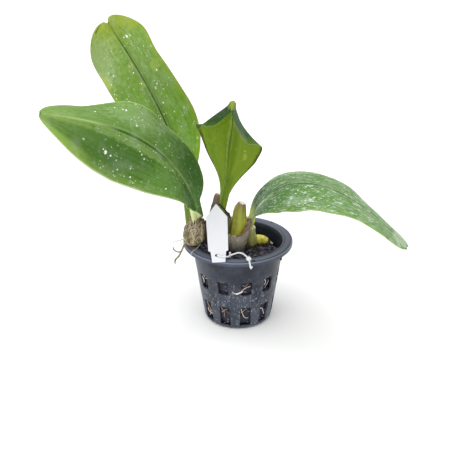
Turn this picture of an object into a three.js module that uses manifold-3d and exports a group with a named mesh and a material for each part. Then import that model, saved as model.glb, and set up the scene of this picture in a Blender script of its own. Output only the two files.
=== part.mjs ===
// A creeping orchid with four leathery leaves, growing in a black net pot with a blank plant tag.
//
// Millimetres, +Z up, +X to the right and -Y to the front. The origin is the middle of the pot's
// underside, on the surface that the pot stands on.

import * as THREE from 'three';
import { mergeVertices } from 'three/addons/utils/BufferGeometryUtils.js';
import Module from 'manifold-3d';

const wasm = await Module();
wasm.setup();

// Driving dimensions

const GAP = 0.3;                 // clearance between two pieces that touch on the real plant

const POT = {
  height: 79,                    // underside to the top of the rim
  footRadius: 31.2,              // the wall's outer radius, carried down to the underside
  flare: 0.145,                  // growth of the radius for each millimetre of height
  wall: 1.4,
  floor: 1.6,
  corner: 5.5,                   // rounding between the underside and the wall
  rimInner: 40.9,
  rimOuter: 50,
  rimDrop: 1.4,                  // the rim slopes down this much towards its edge
  rimThickness: 1.8,             // at its outer edge
  lip: 2.4,                      // height of the turned-down edge
  lipWall: 1.3,
  edgeRound: 0.7,
  sides: 44,
  cornerSteps: 4,
};
const WINDOWS = {
  perRow: 11,
  width: 9.6,
  depth: 12,                     // through the wall and into the medium
  firstAngle: 11.9,              // degrees to the right of the front
  rows: [{ bottom: 38.8, top: 53.1 }, { bottom: 3.9, top: 25 }],
};
const FLOOR_SLOTS = { count: 8, inner: 10, outer: 21, width: 4 };
const RIM_HOLES = { count: 3, radius: 1.1, ring: 47, firstAngle: 137, depth: 10, sides: 10 };
const LUGS = { angles: [75, 255], height: 63, width: 2, rise: 2.8, depth: 1.2 };

const MEDIUM = {
  level: 63.5,
  wallGap: 0.5,
  relief: 2.2,                   // the top's chips stand this far above and below its level
  grain: 1.1,                    // and its side's chips this far back from the wall
  edge: 2,                       // the top's edge is broken back this far
  sideSteps: 8,
  rings: 7,
  sides: 33,
};

const RHIZOME = {
  radius: 3.3,
  sides: 10,
  path: [[-41, -5, 85.5], [-30, -3, 80.5], [-18, -3, 72], [-4, 4, 67], [11, 12, 66], [19, 17, 66.5]],
};

// Each leaf has one outline: half its width is halfWidth at the widest place, and narrows as
// powers of the distance to the blade's base and to its tip.
const LEAF = {
  basePower: 0.62,
  tipPower: 0.44,
  stalkHalfWidth: 3.8,
  bladeThickness: 1.3,
  marginThickness: 0.8,
  stalkThickness: 2.2,
  notch: 0.012,                  // depth of the notch at the tip, as a share of the length
  end: 0.997,                    // the last ring, just short of the tip's single point
  across: 4,                     // steps in each half
  along: 22,
  crowding: 1.4,                 // the steps grow shorter towards the tip
};

// spine runs from the bulb to the tip; faces is the way that the upper side looks at first.
// twist turns the blade about its midrib, and foldLeft and foldRight raise its halves, in degrees
// at even steps from the base to the tip.
const LEAVES = {
  leaf_upper_left: {
    spine: [[-45, 5, 91], [-51, 24, 133], [-64, 43, 170], [-82, 62, 202], [-102, 81, 230],
      [-122, 98, 255]],
    faces: [0, -1, 0.3],
    twist: [-15, -15, -25, -5],
    foldLeft: [50, 35, 10, 20, 25, 25, 55],
    foldRight: [35, 20, 15, 10, 0, 10, 55],
    halfWidth: 39,
    stalk: 0.12,
    colour: '#7f9f35',
  },
  leaf_left: {
    spine: [[-37, -12, 104], [-43, -31, 142], [-59, -48, 174], [-81, -63, 198], [-112, -73, 214],
      [-152, -79, 223]],
    faces: [0, -0.8, 0.6],
    twist: [35, 35, 25, 25, 40],
    foldLeft: [60, 10, -10, -10, -25, -10],
    foldRight: [55, 35, -5, -30, -20, 10],
    halfWidth: 38,
    stalk: 0.1,
    colour: '#5f8a3c',
  },
  leaf_centre: {
    spine: [[-13, -4, 105], [-9, -2, 138], [-7, -4, 168], [-4, -15, 195], [-4, -35, 215],
      [-4, -63, 226], [-5, -95, 230]],
    faces: [0, 1, 0.6],
    twist: [-15, -20, -20, -15],
    foldLeft: [68, 35, -5, -50, -55, -60],
    foldRight: [80, 25, -15, -45, -55, -65],
    halfWidth: 33,
    stalk: 0.09,
    colour: '#7d9428',
  },
  leaf_right: {
    spine: [[13, 11, 85], [24, -5, 120], [45, -25, 141], [74, -48, 148], [105, -70, 138],
      [138, -86, 112]],
    faces: [0, -0.3, 1],
    twist: [30, 10, -15, -40],
    foldLeft: [40, 5, -15, -15, 0, -10],
    foldRight: [55, 5, -15, -20, -15, 5],
    halfWidth: 33,
    stalk: 0.06,
    colour: '#6f9a68',
  },
};

// Bulbs are round rods about an axis: a place and a radius at each station, from the foot up.
const BULBS = {
  pseudobulb_left: {
    axis: [[-38.5, -13.4, 79.7], [-39.2, -13.6, 84], [-39.3, -13.5, 91], [-38.3, -13.2, 98.5],
      [-37.1, -13.4, 105]],
    radii: [4.5, 8.4, 9, 7.2, 4.7],
    ridges: 7,
    ridge: 0.06,
    colour: '#a08c6a',
    leaf: 'leaf_left',
  },
  pseudobulb_back_left: {
    axis: [[-38, -1, 84.5], [-42, 2.5, 87], [-45.2, 4.4, 92.2]],
    radii: [4, 5.6, 4.3],
    ridges: 5,
    ridge: 0.04,
    colour: '#7c8a3a',
    leaf: 'leaf_upper_left',
  },
  pseudobulb_centre: {
    axis: [[-18, -1, 72], [-17, -1.5, 82], [-14.5, -3, 93], [-13.3, -3, 100], [-12.8, -2.6, 106.2]],
    radii: [4.5, 6.3, 6.2, 5, 3.6],
    ridges: 6,
    ridge: 0.04,
    colour: '#69742c',
    leaf: 'leaf_centre',
  },
  pseudobulb_old: {
    axis: [[-26, -8, 77], [-25.5, -11, 88], [-24.5, -13, 100], [-22.8, -14, 110], [-20, -14, 121],
      [-18.6, -14, 129.8]],
    radii: [4.5, 6, 4.4, 3.4, 2.9, 2.4],
    ridges: 5,
    ridge: 0.08,
    colour: '#5d4a3c',
  },
  pseudobulb_bare: {
    axis: [[-1, 1, 65.5], [-1, 1, 77], [-0.3, 0.5, 89], [0.8, 0, 100], [2.2, 0, 108.5], [4.4, 0, 114.5]],
    radii: [5, 7.2, 7.8, 6.6, 4.6, 2.3],
    ridges: 6,
    ridge: 0.04,
    colour: '#8b8f2e',
  },
  pseudobulb_right: {
    axis: [[13.2, 12.4, 66], [12.2, 12, 73.5], [12.2, 11.6, 80.5], [12.6, 11, 86.2]],
    radii: [4.2, 5.1, 3.9, 3.7],
    ridges: 5,
    ridge: 0.05,
    colour: '#8a8c3c',
    leaf: 'leaf_right',
  },
};

// The sheath's rim stands at low on its front and rises to high at its one pointed corner.
const SHEATH = {
  foot: 66.5,
  low: 87,
  high: 97.5,
  cornerAngle: 15,
  sharpness: 5,
  foldOut: 1.4,
  thickness: 1,
  belly: 1.2,
  sides: 20,
  steps: 4,
};

const SHOOT = {
  axis: [[15, 18, 67.5], [19, 18, 68.4], [24.5, 17.4, 68], [29, 17, 66.8], [31, 16.6, 66],
    [32.9, 16, 64.9]],
  radii: [3.4, 4.5, 3.4, 1.3, 0.9, 0.6],
};

const AIR_ROOTS = {
  sides: 6,
  steps: 2,
  paths: [
    { radius: 1.1, points: [[-42, -15, 85], [-47.5, -18, 81.7], [-50.3, -18, 75.7], [-53.2, -18, 69.6],
      [-56.5, -18, 65.6], [-57.1, -18, 61.5]] },
    { radius: 0.8, points: [[-51, -18, 74], [-54, -18, 73.7], [-57.5, -18, 75.7], [-58.3, -18, 78.7]] },
    { radius: 0.8, points: [[-43, -17, 88], [-50, -18, 86], [-55, -18, 84.5], [-58, -17, 82.5]] },
  ],
};

const TAG = {
  foot: [-16.6, -46.5, 78],       // the middle of its lower edge, on the rim
  length: 51.7,
  width: 18.8,
  shoulder: 12,                   // height of the pointed end
  narrow: 17.4,                   // width where the pointed end's body meets the tab
  tab: 9.5,
  tabTop: 13.6,
  tabFoot: 11.4,
  tabStep: 0.6,                   // rise of the shoulder between the tab and the body
  thickness: 0.8,
  slot: [1.7, 1.1],               // half its width and half its height
  slotPlace: [-1.4, 6.1],
  lean: 33.9,                     // degrees back from upright
  roll: 3,                        // degrees about its face
};

// The tie's arm comes through the tag's slot, runs in front of the tag and arches over the rim.
const TIE = {
  strap: 0.75,
  arm: [[-17.7, -41.9, 82.2], [-17.7, -44.1, 83.7], [-16.3, -45.1, 83.7], [-14.2, -45.3, 83.3],
    [-10.7, -45.5, 83.1], [-8.3, -43.2, 82], [-7, -39.6, 81.2], [-3.5, -38.2, 81.9], [0, -37.6, 82.7],
    [3.5, -38.5, 82.7], [6.1, -40.8, 82.1], [8.6, -44.2, 81.2]],
  bar: { place: [-7, -38.8, 81.6], radius: 0.9, height: 5.4 },
  head: { place: [9.3, -45.6, 80.9], radius: 2.1 },
  tail: [[9.4, -46, 80.6], [10, -49.6, 79.6], [10.6, -51.9, 77.4], [11.2, -52.2, 75.4]],
  tip: { place: [11.3, -52.2, 75.6], radius: 1.6, height: 2.4 },
  sides: 8,
};

// Geometry helpers

const degrees = THREE.MathUtils.degToRad;

function vector([x, y, z]) {
  return new THREE.Vector3(x, y, z);
}

// A repeatable draw of numbers between 0 and 1.
function makeRandom(seed) {
  let state = seed;
  return () => {
    state = (state * 1664525 + 1013904223) % 4294967296;
    return state / 4294967296;
  };
}

// The value at t (0 to 1) on a smooth line through numbers given at even steps.
function alongNumbers(numbers, t) {
  const curve = alongPoints(numbers.map((value) => [value, 0, 0]));
  return curve.getPoint(t).x;
}

function alongPoints(points) {
  return new THREE.CatmullRomCurve3(points.map(vector), false, 'catmullrom', 0.5);
}

// A closed geometry from a list of corner places and triangles, with its faces turned outwards.
function closedGeometry(places, triangles) {
  let volume = 0;
  for (let i = 0; i < triangles.length; i += 3) {
    const [a, b, c] = [places[triangles[i]], places[triangles[i + 1]], places[triangles[i + 2]]];
    volume += a.dot(b.clone().cross(c));
  }
  const outward = volume < 0 ? triangles.slice().reverse() : triangles;
  const geometry = new THREE.BufferGeometry();
  const numbers = places.flatMap((place) => place.toArray());
  geometry.setAttribute('position', new THREE.Float32BufferAttribute(numbers, 3));
  geometry.setIndex(outward);
  return geometry;
}

// A skin over rings that have the same number of places. The ends are capped, unless the rings
// run in a circle. otherWay says which quads are split along their other diagonal.
function loft(rings, { circular = false, otherWay = () => false } = {}) {
  const count = rings[0].length;
  const places = rings.flat();
  const triangles = [];
  const rows = circular ? rings.length : rings.length - 1;
  for (let i = 0; i < rows; i += 1) {
    for (let j = 0; j < count; j += 1) {
      const next = (j + 1) % count;
      const upper = ((i + 1) % rings.length) * count;
      const [a, b, c, d] = [i * count + j, i * count + next, upper + j, upper + next];
      if (otherWay(j)) {
        triangles.push(a, b, c, b, d, c);
      } else {
        triangles.push(a, b, d, a, d, c);
      }
    }
  }
  if (!circular) {
    const ends = [{ ring: rings[0], first: 0, flip: true },
      { ring: rings[rings.length - 1], first: (rings.length - 1) * count, flip: false }];
    for (const { ring, first, flip } of ends) {
      const middle = places.length;
      places.push(ring.reduce((sum, p) => sum.add(p), new THREE.Vector3()).divideScalar(count));
      for (let j = 0; j < count; j += 1) {
        const pair = [first + j, first + ((j + 1) % count)];
        triangles.push(...(flip ? [pair[1], pair[0]] : pair), middle);
      }
    }
  }
  return closedGeometry(places, triangles);
}

// Two unit vectors square to a direction; the first lies towards -Y where it can.
function crossFrame(direction) {
  const towards = Math.abs(direction.y) > 0.95 ? new THREE.Vector3(0, 0, 1) : new THREE.Vector3(0, -1, 0);
  const front = towards.addScaledVector(direction, -towards.dot(direction)).normalize();
  return [front, direction.clone().cross(front)];
}

// A ridged round rod along an axis, with a radius at each station, grown by extra all round.
function rod({ axis, radii, ridges = 0, ridge = 0 }, { sides = 14, steps = 3, extra = 0 } = {}) {
  const curve = alongPoints(axis);
  const rows = (axis.length - 1) * steps;
  const rings = [];
  for (let i = 0; i <= rows; i += 1) {
    const t = i / rows;
    const place = curve.getPoint(t);
    const [front, side] = crossFrame(curve.getTangent(t));
    const radius = alongNumbers(radii, t) + extra;
    rings.push(Array.from({ length: sides }, (_, j) => {
      const angle = (2 * Math.PI * j) / sides;
      const reach = radius * (1 + ridge * Math.cos(ridges * angle));
      return place.clone()
        .addScaledVector(front, reach * Math.cos(angle))
        .addScaledVector(side, reach * Math.sin(angle));
    }));
  }
  return loft(rings);
}

// A round tube of one radius along points, grown by extra all round.
function tube(points, radius, { sides = 8, steps = 3, extra = 0 } = {}) {
  const section = new THREE.Shape().absarc(0, 0, radius + extra, 0, 2 * Math.PI);
  return new THREE.ExtrudeGeometry(section, {
    steps: (points.length - 1) * steps,
    curveSegments: sides / 2,     // a full circle is drawn with twice as many
    extrudePath: alongPoints(points),
  });
}

// The same faces with their shared corners merged.
function bareMesh(geometry) {
  const bare = geometry.clone();
  bare.deleteAttribute('normal');
  bare.deleteAttribute('uv');
  return mergeVertices(bare, 1e-4);
}

function solid(geometry) {
  const merged = bareMesh(geometry);
  const vertProperties = new Float32Array(merged.attributes.position.array);
  const triVerts = new Uint32Array(merged.index.array);
  return new wasm.Manifold(new wasm.Mesh({ numProp: 3, vertProperties, triVerts }));
}

function geometryOf(manifold) {
  const { vertProperties, triVerts } = manifold.getMesh();
  const geometry = new THREE.BufferGeometry();
  geometry.setAttribute('position', new THREE.BufferAttribute(new Float32Array(vertProperties), 3));
  geometry.setIndex(new THREE.BufferAttribute(new Uint32Array(triVerts), 1));
  return geometry;
}

function without(geometry, cutters) {
  return geometryOf(cutters.reduce((rest, cutter) => rest.subtract(solid(cutter)), solid(geometry)));
}

function joined(geometries) {
  return geometryOf(geometries.map(solid).reduce((sum, next) => sum.add(next)));
}

// A lathe about +Z from a list of radius and height pairs.
function turned(profile, sides) {
  const points = profile.map(([r, z]) => new THREE.Vector2(r, z));
  return new THREE.LatheGeometry(points, sides).rotateX(Math.PI / 2);
}

// A geometry moved out to a place on a circle about +Z; the angle runs from the front to the right.
function aroundPot(geometry, angle, radius, height) {
  return geometry.translate(0, -radius, height).rotateZ(degrees(angle));
}

function mesh(name, geometry, colour, roughness) {
  const material = new THREE.MeshStandardMaterial({ color: colour, roughness, metalness: 0 });
  const piece = new THREE.Mesh(geometry, material);
  piece.name = name;
  return piece;
}

// Pot

function wallRadius(z) {
  return POT.footRadius + POT.flare * z;
}

// The quarter round between a level floor and the wall, from the floor outwards.
function cornerProfile(floorHeight, thickness, size) {
  const start = wallRadius(floorHeight + size) - thickness - size;
  return Array.from({ length: POT.cornerSteps + 1 }, (_, i) => {
    const angle = (Math.PI / 2) * (i / POT.cornerSteps);
    return [start + size * Math.sin(angle), floorHeight + size * (1 - Math.cos(angle))];
  });
}

function potProfile() {
  const { height, wall, floor, corner, rimInner, rimOuter, edgeRound, lipWall } = POT;
  const edge = height - POT.rimDrop;
  const rimUnder = edge - POT.rimThickness;
  const lipFoot = edge - POT.lip;
  return [
    [0, 0],
    ...cornerProfile(0, 0, corner),
    [wallRadius(lipFoot), lipFoot],
    [wallRadius(lipFoot) + edgeRound, rimUnder],
    [rimOuter - lipWall, rimUnder],
    [rimOuter - lipWall, lipFoot],
    [rimOuter, lipFoot],
    [rimOuter, edge - edgeRound],
    [rimOuter - edgeRound, edge],
    [rimInner + edgeRound, height],
    [rimInner, height - edgeRound],
    [wallRadius(lipFoot) - wall, lipFoot - edgeRound],
    ...cornerProfile(floor, wall, corner - wall).reverse(),
    [0, floor],
  ];
}

function makePot() {
  const cutters = [];
  for (const { bottom, top } of WINDOWS.rows) {
    const middle = (bottom + top) / 2;
    for (let i = 0; i < WINDOWS.perRow; i += 1) {
      const angle = WINDOWS.firstAngle + (360 / WINDOWS.perRow) * i;
      const box = new THREE.BoxGeometry(WINDOWS.width, WINDOWS.depth, top - bottom);
      cutters.push(aroundPot(box, angle, wallRadius(middle), middle));
    }
  }
  for (let i = 0; i < FLOOR_SLOTS.count; i += 1) {
    const { count, inner, outer, width } = FLOOR_SLOTS;
    const slot = new THREE.BoxGeometry(width, outer - inner, 3 * POT.floor);
    cutters.push(aroundPot(slot, (360 / count) * i, (inner + outer) / 2, 0));
  }
  for (let i = 0; i < RIM_HOLES.count; i += 1) {
    const { count, radius, ring, firstAngle, depth, sides } = RIM_HOLES;
    const hole = new THREE.CylinderGeometry(radius, radius, depth, sides).rotateX(Math.PI / 2);
    cutters.push(aroundPot(hole, firstAngle + (360 / count) * i, ring, POT.height));
  }
  const lugs = LUGS.angles.map((angle) => {
    const lug = new THREE.BoxGeometry(LUGS.width, 2 * LUGS.depth, LUGS.rise);
    return aroundPot(lug, angle, wallRadius(LUGS.height), LUGS.height);
  });
  const shell = without(turned(potProfile(), POT.sides), cutters);
  const middle = POT.wall / 2;
  const inside = turned([[0, 0], [wallRadius(0) - middle, 0], [wallRadius(POT.height) - middle, POT.height],
    [0, POT.height]], POT.sides);
  return joined([shell, ...lugs.map((lug) => without(lug, [inside]))]);
}

// Growing medium: chips that fill the pot, with an uneven top

function makeMedium(cutters) {
  const random = makeRandom(7);
  const { level, wallGap, relief, grain, edge, sideSteps, rings, sides } = MEDIUM;
  const corner = cornerProfile(POT.floor + GAP, POT.wall + wallGap, POT.corner);
  const cornerTop = POT.floor + GAP + POT.corner;
  const topRadius = wallRadius(level) - POT.wall - wallGap - edge;
  const profile = [[0, POT.floor + GAP], ...corner];
  for (let i = 1; i <= sideSteps; i += 1) {
    const z = THREE.MathUtils.lerp(cornerTop, level - relief, i / sideSteps);
    profile.push([wallRadius(z) - POT.wall - wallGap, z]);
  }
  for (let i = 0; i < rings; i += 1) {
    profile.push([topRadius * (1 - i / rings), level]);
  }
  profile.push([0, level]);
  const medium = bareMesh(turned(profile, sides));
  const place = medium.attributes.position;
  for (let i = 0; i < place.count; i += 1) {
    const height = place.getZ(i);
    if (height > level - relief / 2) {
      place.setZ(i, height + relief * (2 * random() - 1));
    } else if (height > cornerTop) {
      const inwards = 1 - (grain * random()) / Math.hypot(place.getX(i), place.getY(i));
      place.setX(i, place.getX(i) * inwards);
      place.setY(i, place.getY(i) * inwards);
    }
  }
  return without(medium, cutters);
}

// Leaves

function leafHalfWidth(leaf, t) {
  const { basePower, tipPower, stalkHalfWidth } = LEAF;
  const along = THREE.MathUtils.clamp((t - leaf.stalk) / (1 - leaf.stalk), 0, 1);
  const widest = basePower / (basePower + tipPower);
  const blade = leaf.halfWidth * (along / widest) ** basePower * ((1 - along) / (1 - widest)) ** tipPower;
  return Math.hypot(blade, stalkHalfWidth * (1 - along));
}

// The middle of the blade's thickness at t along the leaf and u across it (-1 to 1).
function leafPlace(leaf, t, u) {
  const spine = alongPoints(leaf.spine);
  const direction = spine.getTangent(t);
  const upper = vector(leaf.faces);
  upper.addScaledVector(direction, -upper.dot(direction)).normalize();
  upper.applyAxisAngle(direction, degrees(alongNumbers(leaf.twist, t)));
  const side = direction.clone().cross(upper);
  const fold = degrees(alongNumbers(u > 0 ? leaf.foldLeft : leaf.foldRight, t));
  const reach = leafHalfWidth(leaf, t) * Math.abs(u);
  return spine.getPoint(t)
    .addScaledVector(side, Math.sign(u) * reach * Math.cos(fold))
    .addScaledVector(upper, reach * Math.sin(fold));
}

function leafThickness(leaf, t, u) {
  const blade = THREE.MathUtils.lerp(LEAF.bladeThickness, LEAF.marginThickness, Math.abs(u));
  const stalk = LEAF.marginThickness + LEAF.stalkThickness * Math.sqrt(1 - u * u);
  const isBlade = THREE.MathUtils.smoothstep(t, leaf.stalk * 0.6, leaf.stalk * 2);
  return THREE.MathUtils.lerp(stalk, blade, isBlade);
}

// The direction square to the blade, towards its upper side.
function leafNormal(leaf, t, u) {
  const step = 1e-3;
  const inside = THREE.MathUtils.clamp(t, step, 1 - step);
  const lengthways = leafPlace(leaf, inside + step, u).sub(leafPlace(leaf, inside - step, u));
  const [left, right] = [Math.min(u + step, 1), Math.max(u - step, -1)];
  const crossways = leafPlace(leaf, t, left).sub(leafPlace(leaf, t, right));
  return crossways.cross(lengthways).normalize();
}

function makeLeaf(leaf) {
  const { across, along, notch, end, crowding } = LEAF;
  const rings = [];
  for (let i = 0; i <= along; i += 1) {
    const t = end * (1 - (1 - i / along) ** crowding);
    const upperSide = [];
    const lowerSide = [];
    for (let j = -across; j <= across; j += 1) {
      const u = j / across;
      const notched = t - notch * (1 - Math.abs(u)) ** 2 * THREE.MathUtils.smoothstep(t, 0.9, 1);
      const middle = leafPlace(leaf, notched, u);
      const offset = leafNormal(leaf, notched, u).multiplyScalar(leafThickness(leaf, t, u) / 2);
      upperSide.push(middle.clone().add(offset));
      lowerSide.unshift(middle.clone().sub(offset));
    }
    rings.push([...upperSide, ...lowerSide]);
  }
  return loft(rings, { otherWay: (j) => j > 2 * across });
}

// Papery sheath round the bare bulb's foot

function makeSheath(bulb) {
  const { foot, low, high, cornerAngle, sharpness, foldOut, thickness, belly, sides, steps } = SHEATH;
  const curve = alongPoints(bulb.axis);
  const [bottom, top] = [bulb.axis[0][2], bulb.axis[bulb.axis.length - 1][2]];
  const atHeight = (z) => {
    let t = (z - bottom) / (top - bottom);
    for (let i = 0; i < 8; i += 1) {
      t += (z - curve.getPoint(t).z) / (top - bottom);
    }
    return { middle: curve.getPoint(t), radius: alongNumbers(bulb.radii, t) * (1 + bulb.ridge) + GAP };
  };
  const sections = [];
  for (let j = 0; j < sides; j += 1) {
    const angle = (2 * Math.PI * j) / sides;
    const corner = Math.max(0, Math.cos(angle - degrees(cornerAngle))) ** sharpness;
    const rim = low + (high - low) * corner;
    const inner = [];
    const outer = [];
    for (let i = 0; i <= steps; i += 1) {
      const share = i / steps;
      const { middle, radius } = atHeight(foot + (rim - foot) * share);
      const away = radius + foldOut * share * share;
      const wall = thickness + belly * Math.sin(Math.PI * share);
      const towards = new THREE.Vector3(Math.cos(angle), Math.sin(angle), 0);
      inner.unshift(middle.clone().addScaledVector(towards, away));
      outer.push(middle.clone().addScaledVector(towards, away + wall));
    }
    sections.push([...outer, ...inner]);
  }
  return loft(sections, { circular: true });
}

// Plant tag and its tie

function makeTag() {
  const { length, width, shoulder, narrow, tab, tabTop, tabFoot, tabStep, thickness } = TAG;
  const outline = new THREE.Shape();
  outline.moveTo(-tabFoot / 2, 0);
  outline.lineTo(tabFoot / 2, 0);
  outline.lineTo(tabTop / 2, tab);
  outline.lineTo(narrow / 2, tab + tabStep);
  outline.lineTo(width / 2, length - shoulder);
  outline.lineTo(0, length);
  outline.lineTo(-width / 2, length - shoulder);
  outline.lineTo(-narrow / 2, tab + tabStep);
  outline.lineTo(-tabTop / 2, tab);
  outline.closePath();
  outline.holes.push(new THREE.Path().absellipse(...TAG.slotPlace, ...TAG.slot, 0, 2 * Math.PI, true));
  return new THREE.ExtrudeGeometry(outline, { depth: thickness, bevelEnabled: false, curveSegments: 6 });
}

function makeTie() {
  const { strap, arm, bar, head, tail, tip, sides } = TIE;
  const upright = new THREE.CylinderGeometry(bar.radius, bar.radius, bar.height, sides);
  upright.rotateX(Math.PI / 2);
  const knob = new THREE.SphereGeometry(head.radius, sides, sides - 2);
  const arrow = new THREE.ConeGeometry(tip.radius, tip.height, sides).rotateX(-Math.PI / 2);
  return joined([
    tube(arm, strap, { sides }),
    upright.translate(...bar.place),
    knob.translate(...head.place),
    tube(tail, strap, { sides }),
    arrow.translate(...tip.place),
  ]);
}

// Assembly

const orchid = new THREE.Group();
const plant = new THREE.Group();
orchid.add(plant);

const fatRhizome = tube(RHIZOME.path, RHIZOME.radius, { sides: RHIZOME.sides, extra: GAP });
const fatBulb = (name) => rod(BULBS[name], { extra: GAP });

orchid.add(mesh('pot', makePot(), '#3b3e44', 0.55));
orchid.add(mesh('growing_medium', makeMedium([
  fatRhizome,
  fatBulb('pseudobulb_bare'),
  fatBulb('pseudobulb_right'),
  rod(SHOOT, { extra: GAP }),
]), '#1d1b1e', 0.95));

plant.add(mesh('rhizome', tube(RHIZOME.path, RHIZOME.radius, { sides: RHIZOME.sides }), '#6b5a3c', 0.8));

// Each bulb gives way to the rhizome and to the bulbs before it.
const standing = [fatRhizome];
for (const [name, bulb] of Object.entries(BULBS)) {
  const body = without(rod(bulb), standing);
  const roots = name === 'pseudobulb_left'
    ? AIR_ROOTS.paths.map(({ points, radius }) => tube(points, radius, AIR_ROOTS))
    : [];
  plant.add(mesh(name, joined([body, ...roots]), bulb.colour, 0.6));
  if (bulb.leaf) {
    const leaf = LEAVES[bulb.leaf];
    plant.add(mesh(bulb.leaf, without(makeLeaf(leaf), [fatBulb(name)]), leaf.colour, 0.45));
  }
  standing.push(fatBulb(name));
}
plant.add(mesh('papery_sheath', without(makeSheath(BULBS.pseudobulb_bare), standing), '#97897a', 0.85));
plant.add(mesh('new_shoot', without(rod(SHOOT), standing), '#c3b53a', 0.5));

const tagStand = new THREE.Group();
tagStand.position.set(...TAG.foot);
tagStand.rotation.set(degrees(90 - TAG.lean), 0, 0);
const tag = mesh('plant_tag', makeTag(), '#ecedf2', 0.35);
tag.rotation.z = degrees(TAG.roll);
tagStand.add(tag);
orchid.add(tagStand);
orchid.add(mesh('tag_tie', makeTie(), '#f4f4f2', 0.35));

export default orchid;
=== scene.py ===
"""Looks of a creeping orchid in a dark net pot, built round its CAD frame.

Four leathery leaves stand on ridged bulbs along a bark-brown rhizome. The pot has two rows of
windows, dark chips show through them, and a blank white tag leans on the rim by its plastic tie.
Lengths are in metres, +Z is up, +X is to the right and the front is -Y.
"""

import logging
import math
import random
from collections.abc import Callable, Sequence
from dataclasses import dataclass, field
from enum import Enum

import bmesh
import bpy
from bmesh.types import BMEdge, BMesh, BMFace, BMLayerItem, BMVert
from bpy.types import Material, Node, NodeSocket, Object
from mathutils import Matrix, Vector, noise


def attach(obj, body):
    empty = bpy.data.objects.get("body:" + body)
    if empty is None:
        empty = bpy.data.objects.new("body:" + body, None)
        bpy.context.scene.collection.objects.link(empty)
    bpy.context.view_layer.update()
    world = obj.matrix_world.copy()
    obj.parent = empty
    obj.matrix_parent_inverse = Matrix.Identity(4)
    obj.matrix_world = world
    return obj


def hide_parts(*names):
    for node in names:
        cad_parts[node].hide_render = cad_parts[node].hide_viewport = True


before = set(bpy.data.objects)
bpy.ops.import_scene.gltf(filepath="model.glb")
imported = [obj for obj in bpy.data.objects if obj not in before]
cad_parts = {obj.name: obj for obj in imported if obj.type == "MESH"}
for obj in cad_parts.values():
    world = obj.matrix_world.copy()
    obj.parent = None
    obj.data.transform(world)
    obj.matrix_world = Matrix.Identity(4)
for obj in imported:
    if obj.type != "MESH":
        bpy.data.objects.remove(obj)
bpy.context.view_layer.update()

log = logging.getLogger("orchid")

MM = 0.001
TURN = 2 * math.pi
Triple = tuple[float, float, float]
Colour = tuple[float, float, float, float]
Value = float | Colour | Vector | NodeSocket
Place = Callable[[float, float], Vector]
Stops = tuple[tuple[float, str], ...]


# Numbers and lines


def smooth(low: float, high: float, value: float) -> float:
    """Gives 0 below low and 1 above high, with an eased rise between them."""
    share = min(max((value - low) / (high - low), 0.0), 1.0)
    return share * share * (3 - 2 * share)


def blend(first: float, second: float, share: float) -> float:
    """Gives the value at a share of the way from the first to the second."""
    return first + (second - first) * share


def point(place: Triple) -> Vector:
    """Gives a place in metres from one in millimetres."""
    return Vector(place) * MM


def points(places: Sequence[Triple]) -> list[Vector]:
    """Gives places in metres from places in millimetres."""
    return [point(place) for place in places]


def along(stations: Sequence, share: float) -> Vector | float:
    """Follows a smooth line through stations at even steps.

    Args:
        stations: Places or numbers, from the start of the line to its end.
        share: How far along the line, from 0 to 1.

    Returns:
        The place or the number there.
    """
    last = len(stations) - 1
    reach = min(max(share, 0.0), 1.0) * last
    step = min(int(reach), last - 1)
    w = reach - step
    start, end = stations[step], stations[step + 1]
    before = stations[step - 1] if step > 0 else start * 2 - end
    after = stations[step + 2] if step + 2 <= last else end * 2 - start
    leave, arrive = (end - before) * 0.5, (after - start) * 0.5
    bend = (end - start) * 3 - leave * 2 - arrive
    turn = (start - end) * 2 + leave + arrive
    return start + leave * w + bend * w**2 + turn * w**3


def heading(stations: Sequence[Vector], share: float) -> Vector:
    """Gives the unit direction of a smooth line at a share of its length."""
    return (along(stations, min(share + 1e-4, 1)) - along(stations, max(share - 1e-4, 0))).normalized()


def crossways(direction: Vector) -> tuple[Vector, Vector]:
    """Gives two unit vectors square to a direction, the first towards the front where it can."""
    towards = Vector((0, 0, 1)) if abs(direction.y) > 0.95 else Vector((0, -1, 0))
    front = (towards - direction * towards.dot(direction)).normalized()
    return front, direction.cross(front)


def around(direction: Vector, turn: float) -> Vector:
    """Gives the unit vector square to a direction, at a share of a turn from the front."""
    front, side = crossways(direction)
    return front * math.cos(TURN * turn) + side * math.sin(TURN * turn)


def round_pot(radius: float, degrees: float, height: float) -> Vector:
    """Gives a place about the pot's axis, with the angle from the front to the right."""
    angle = math.radians(degrees)
    return Vector((radius * math.sin(angle), -radius * math.cos(angle), height))


def grain(place: Vector, scale: float, seed: float = 0.0) -> float:
    """Gives a soft bumpy value from -1 to 1 at a place, with features scale metres across."""
    return noise.noise(place / scale + Vector((seed, seed * 1.7, -seed)))


# Meshes


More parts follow.
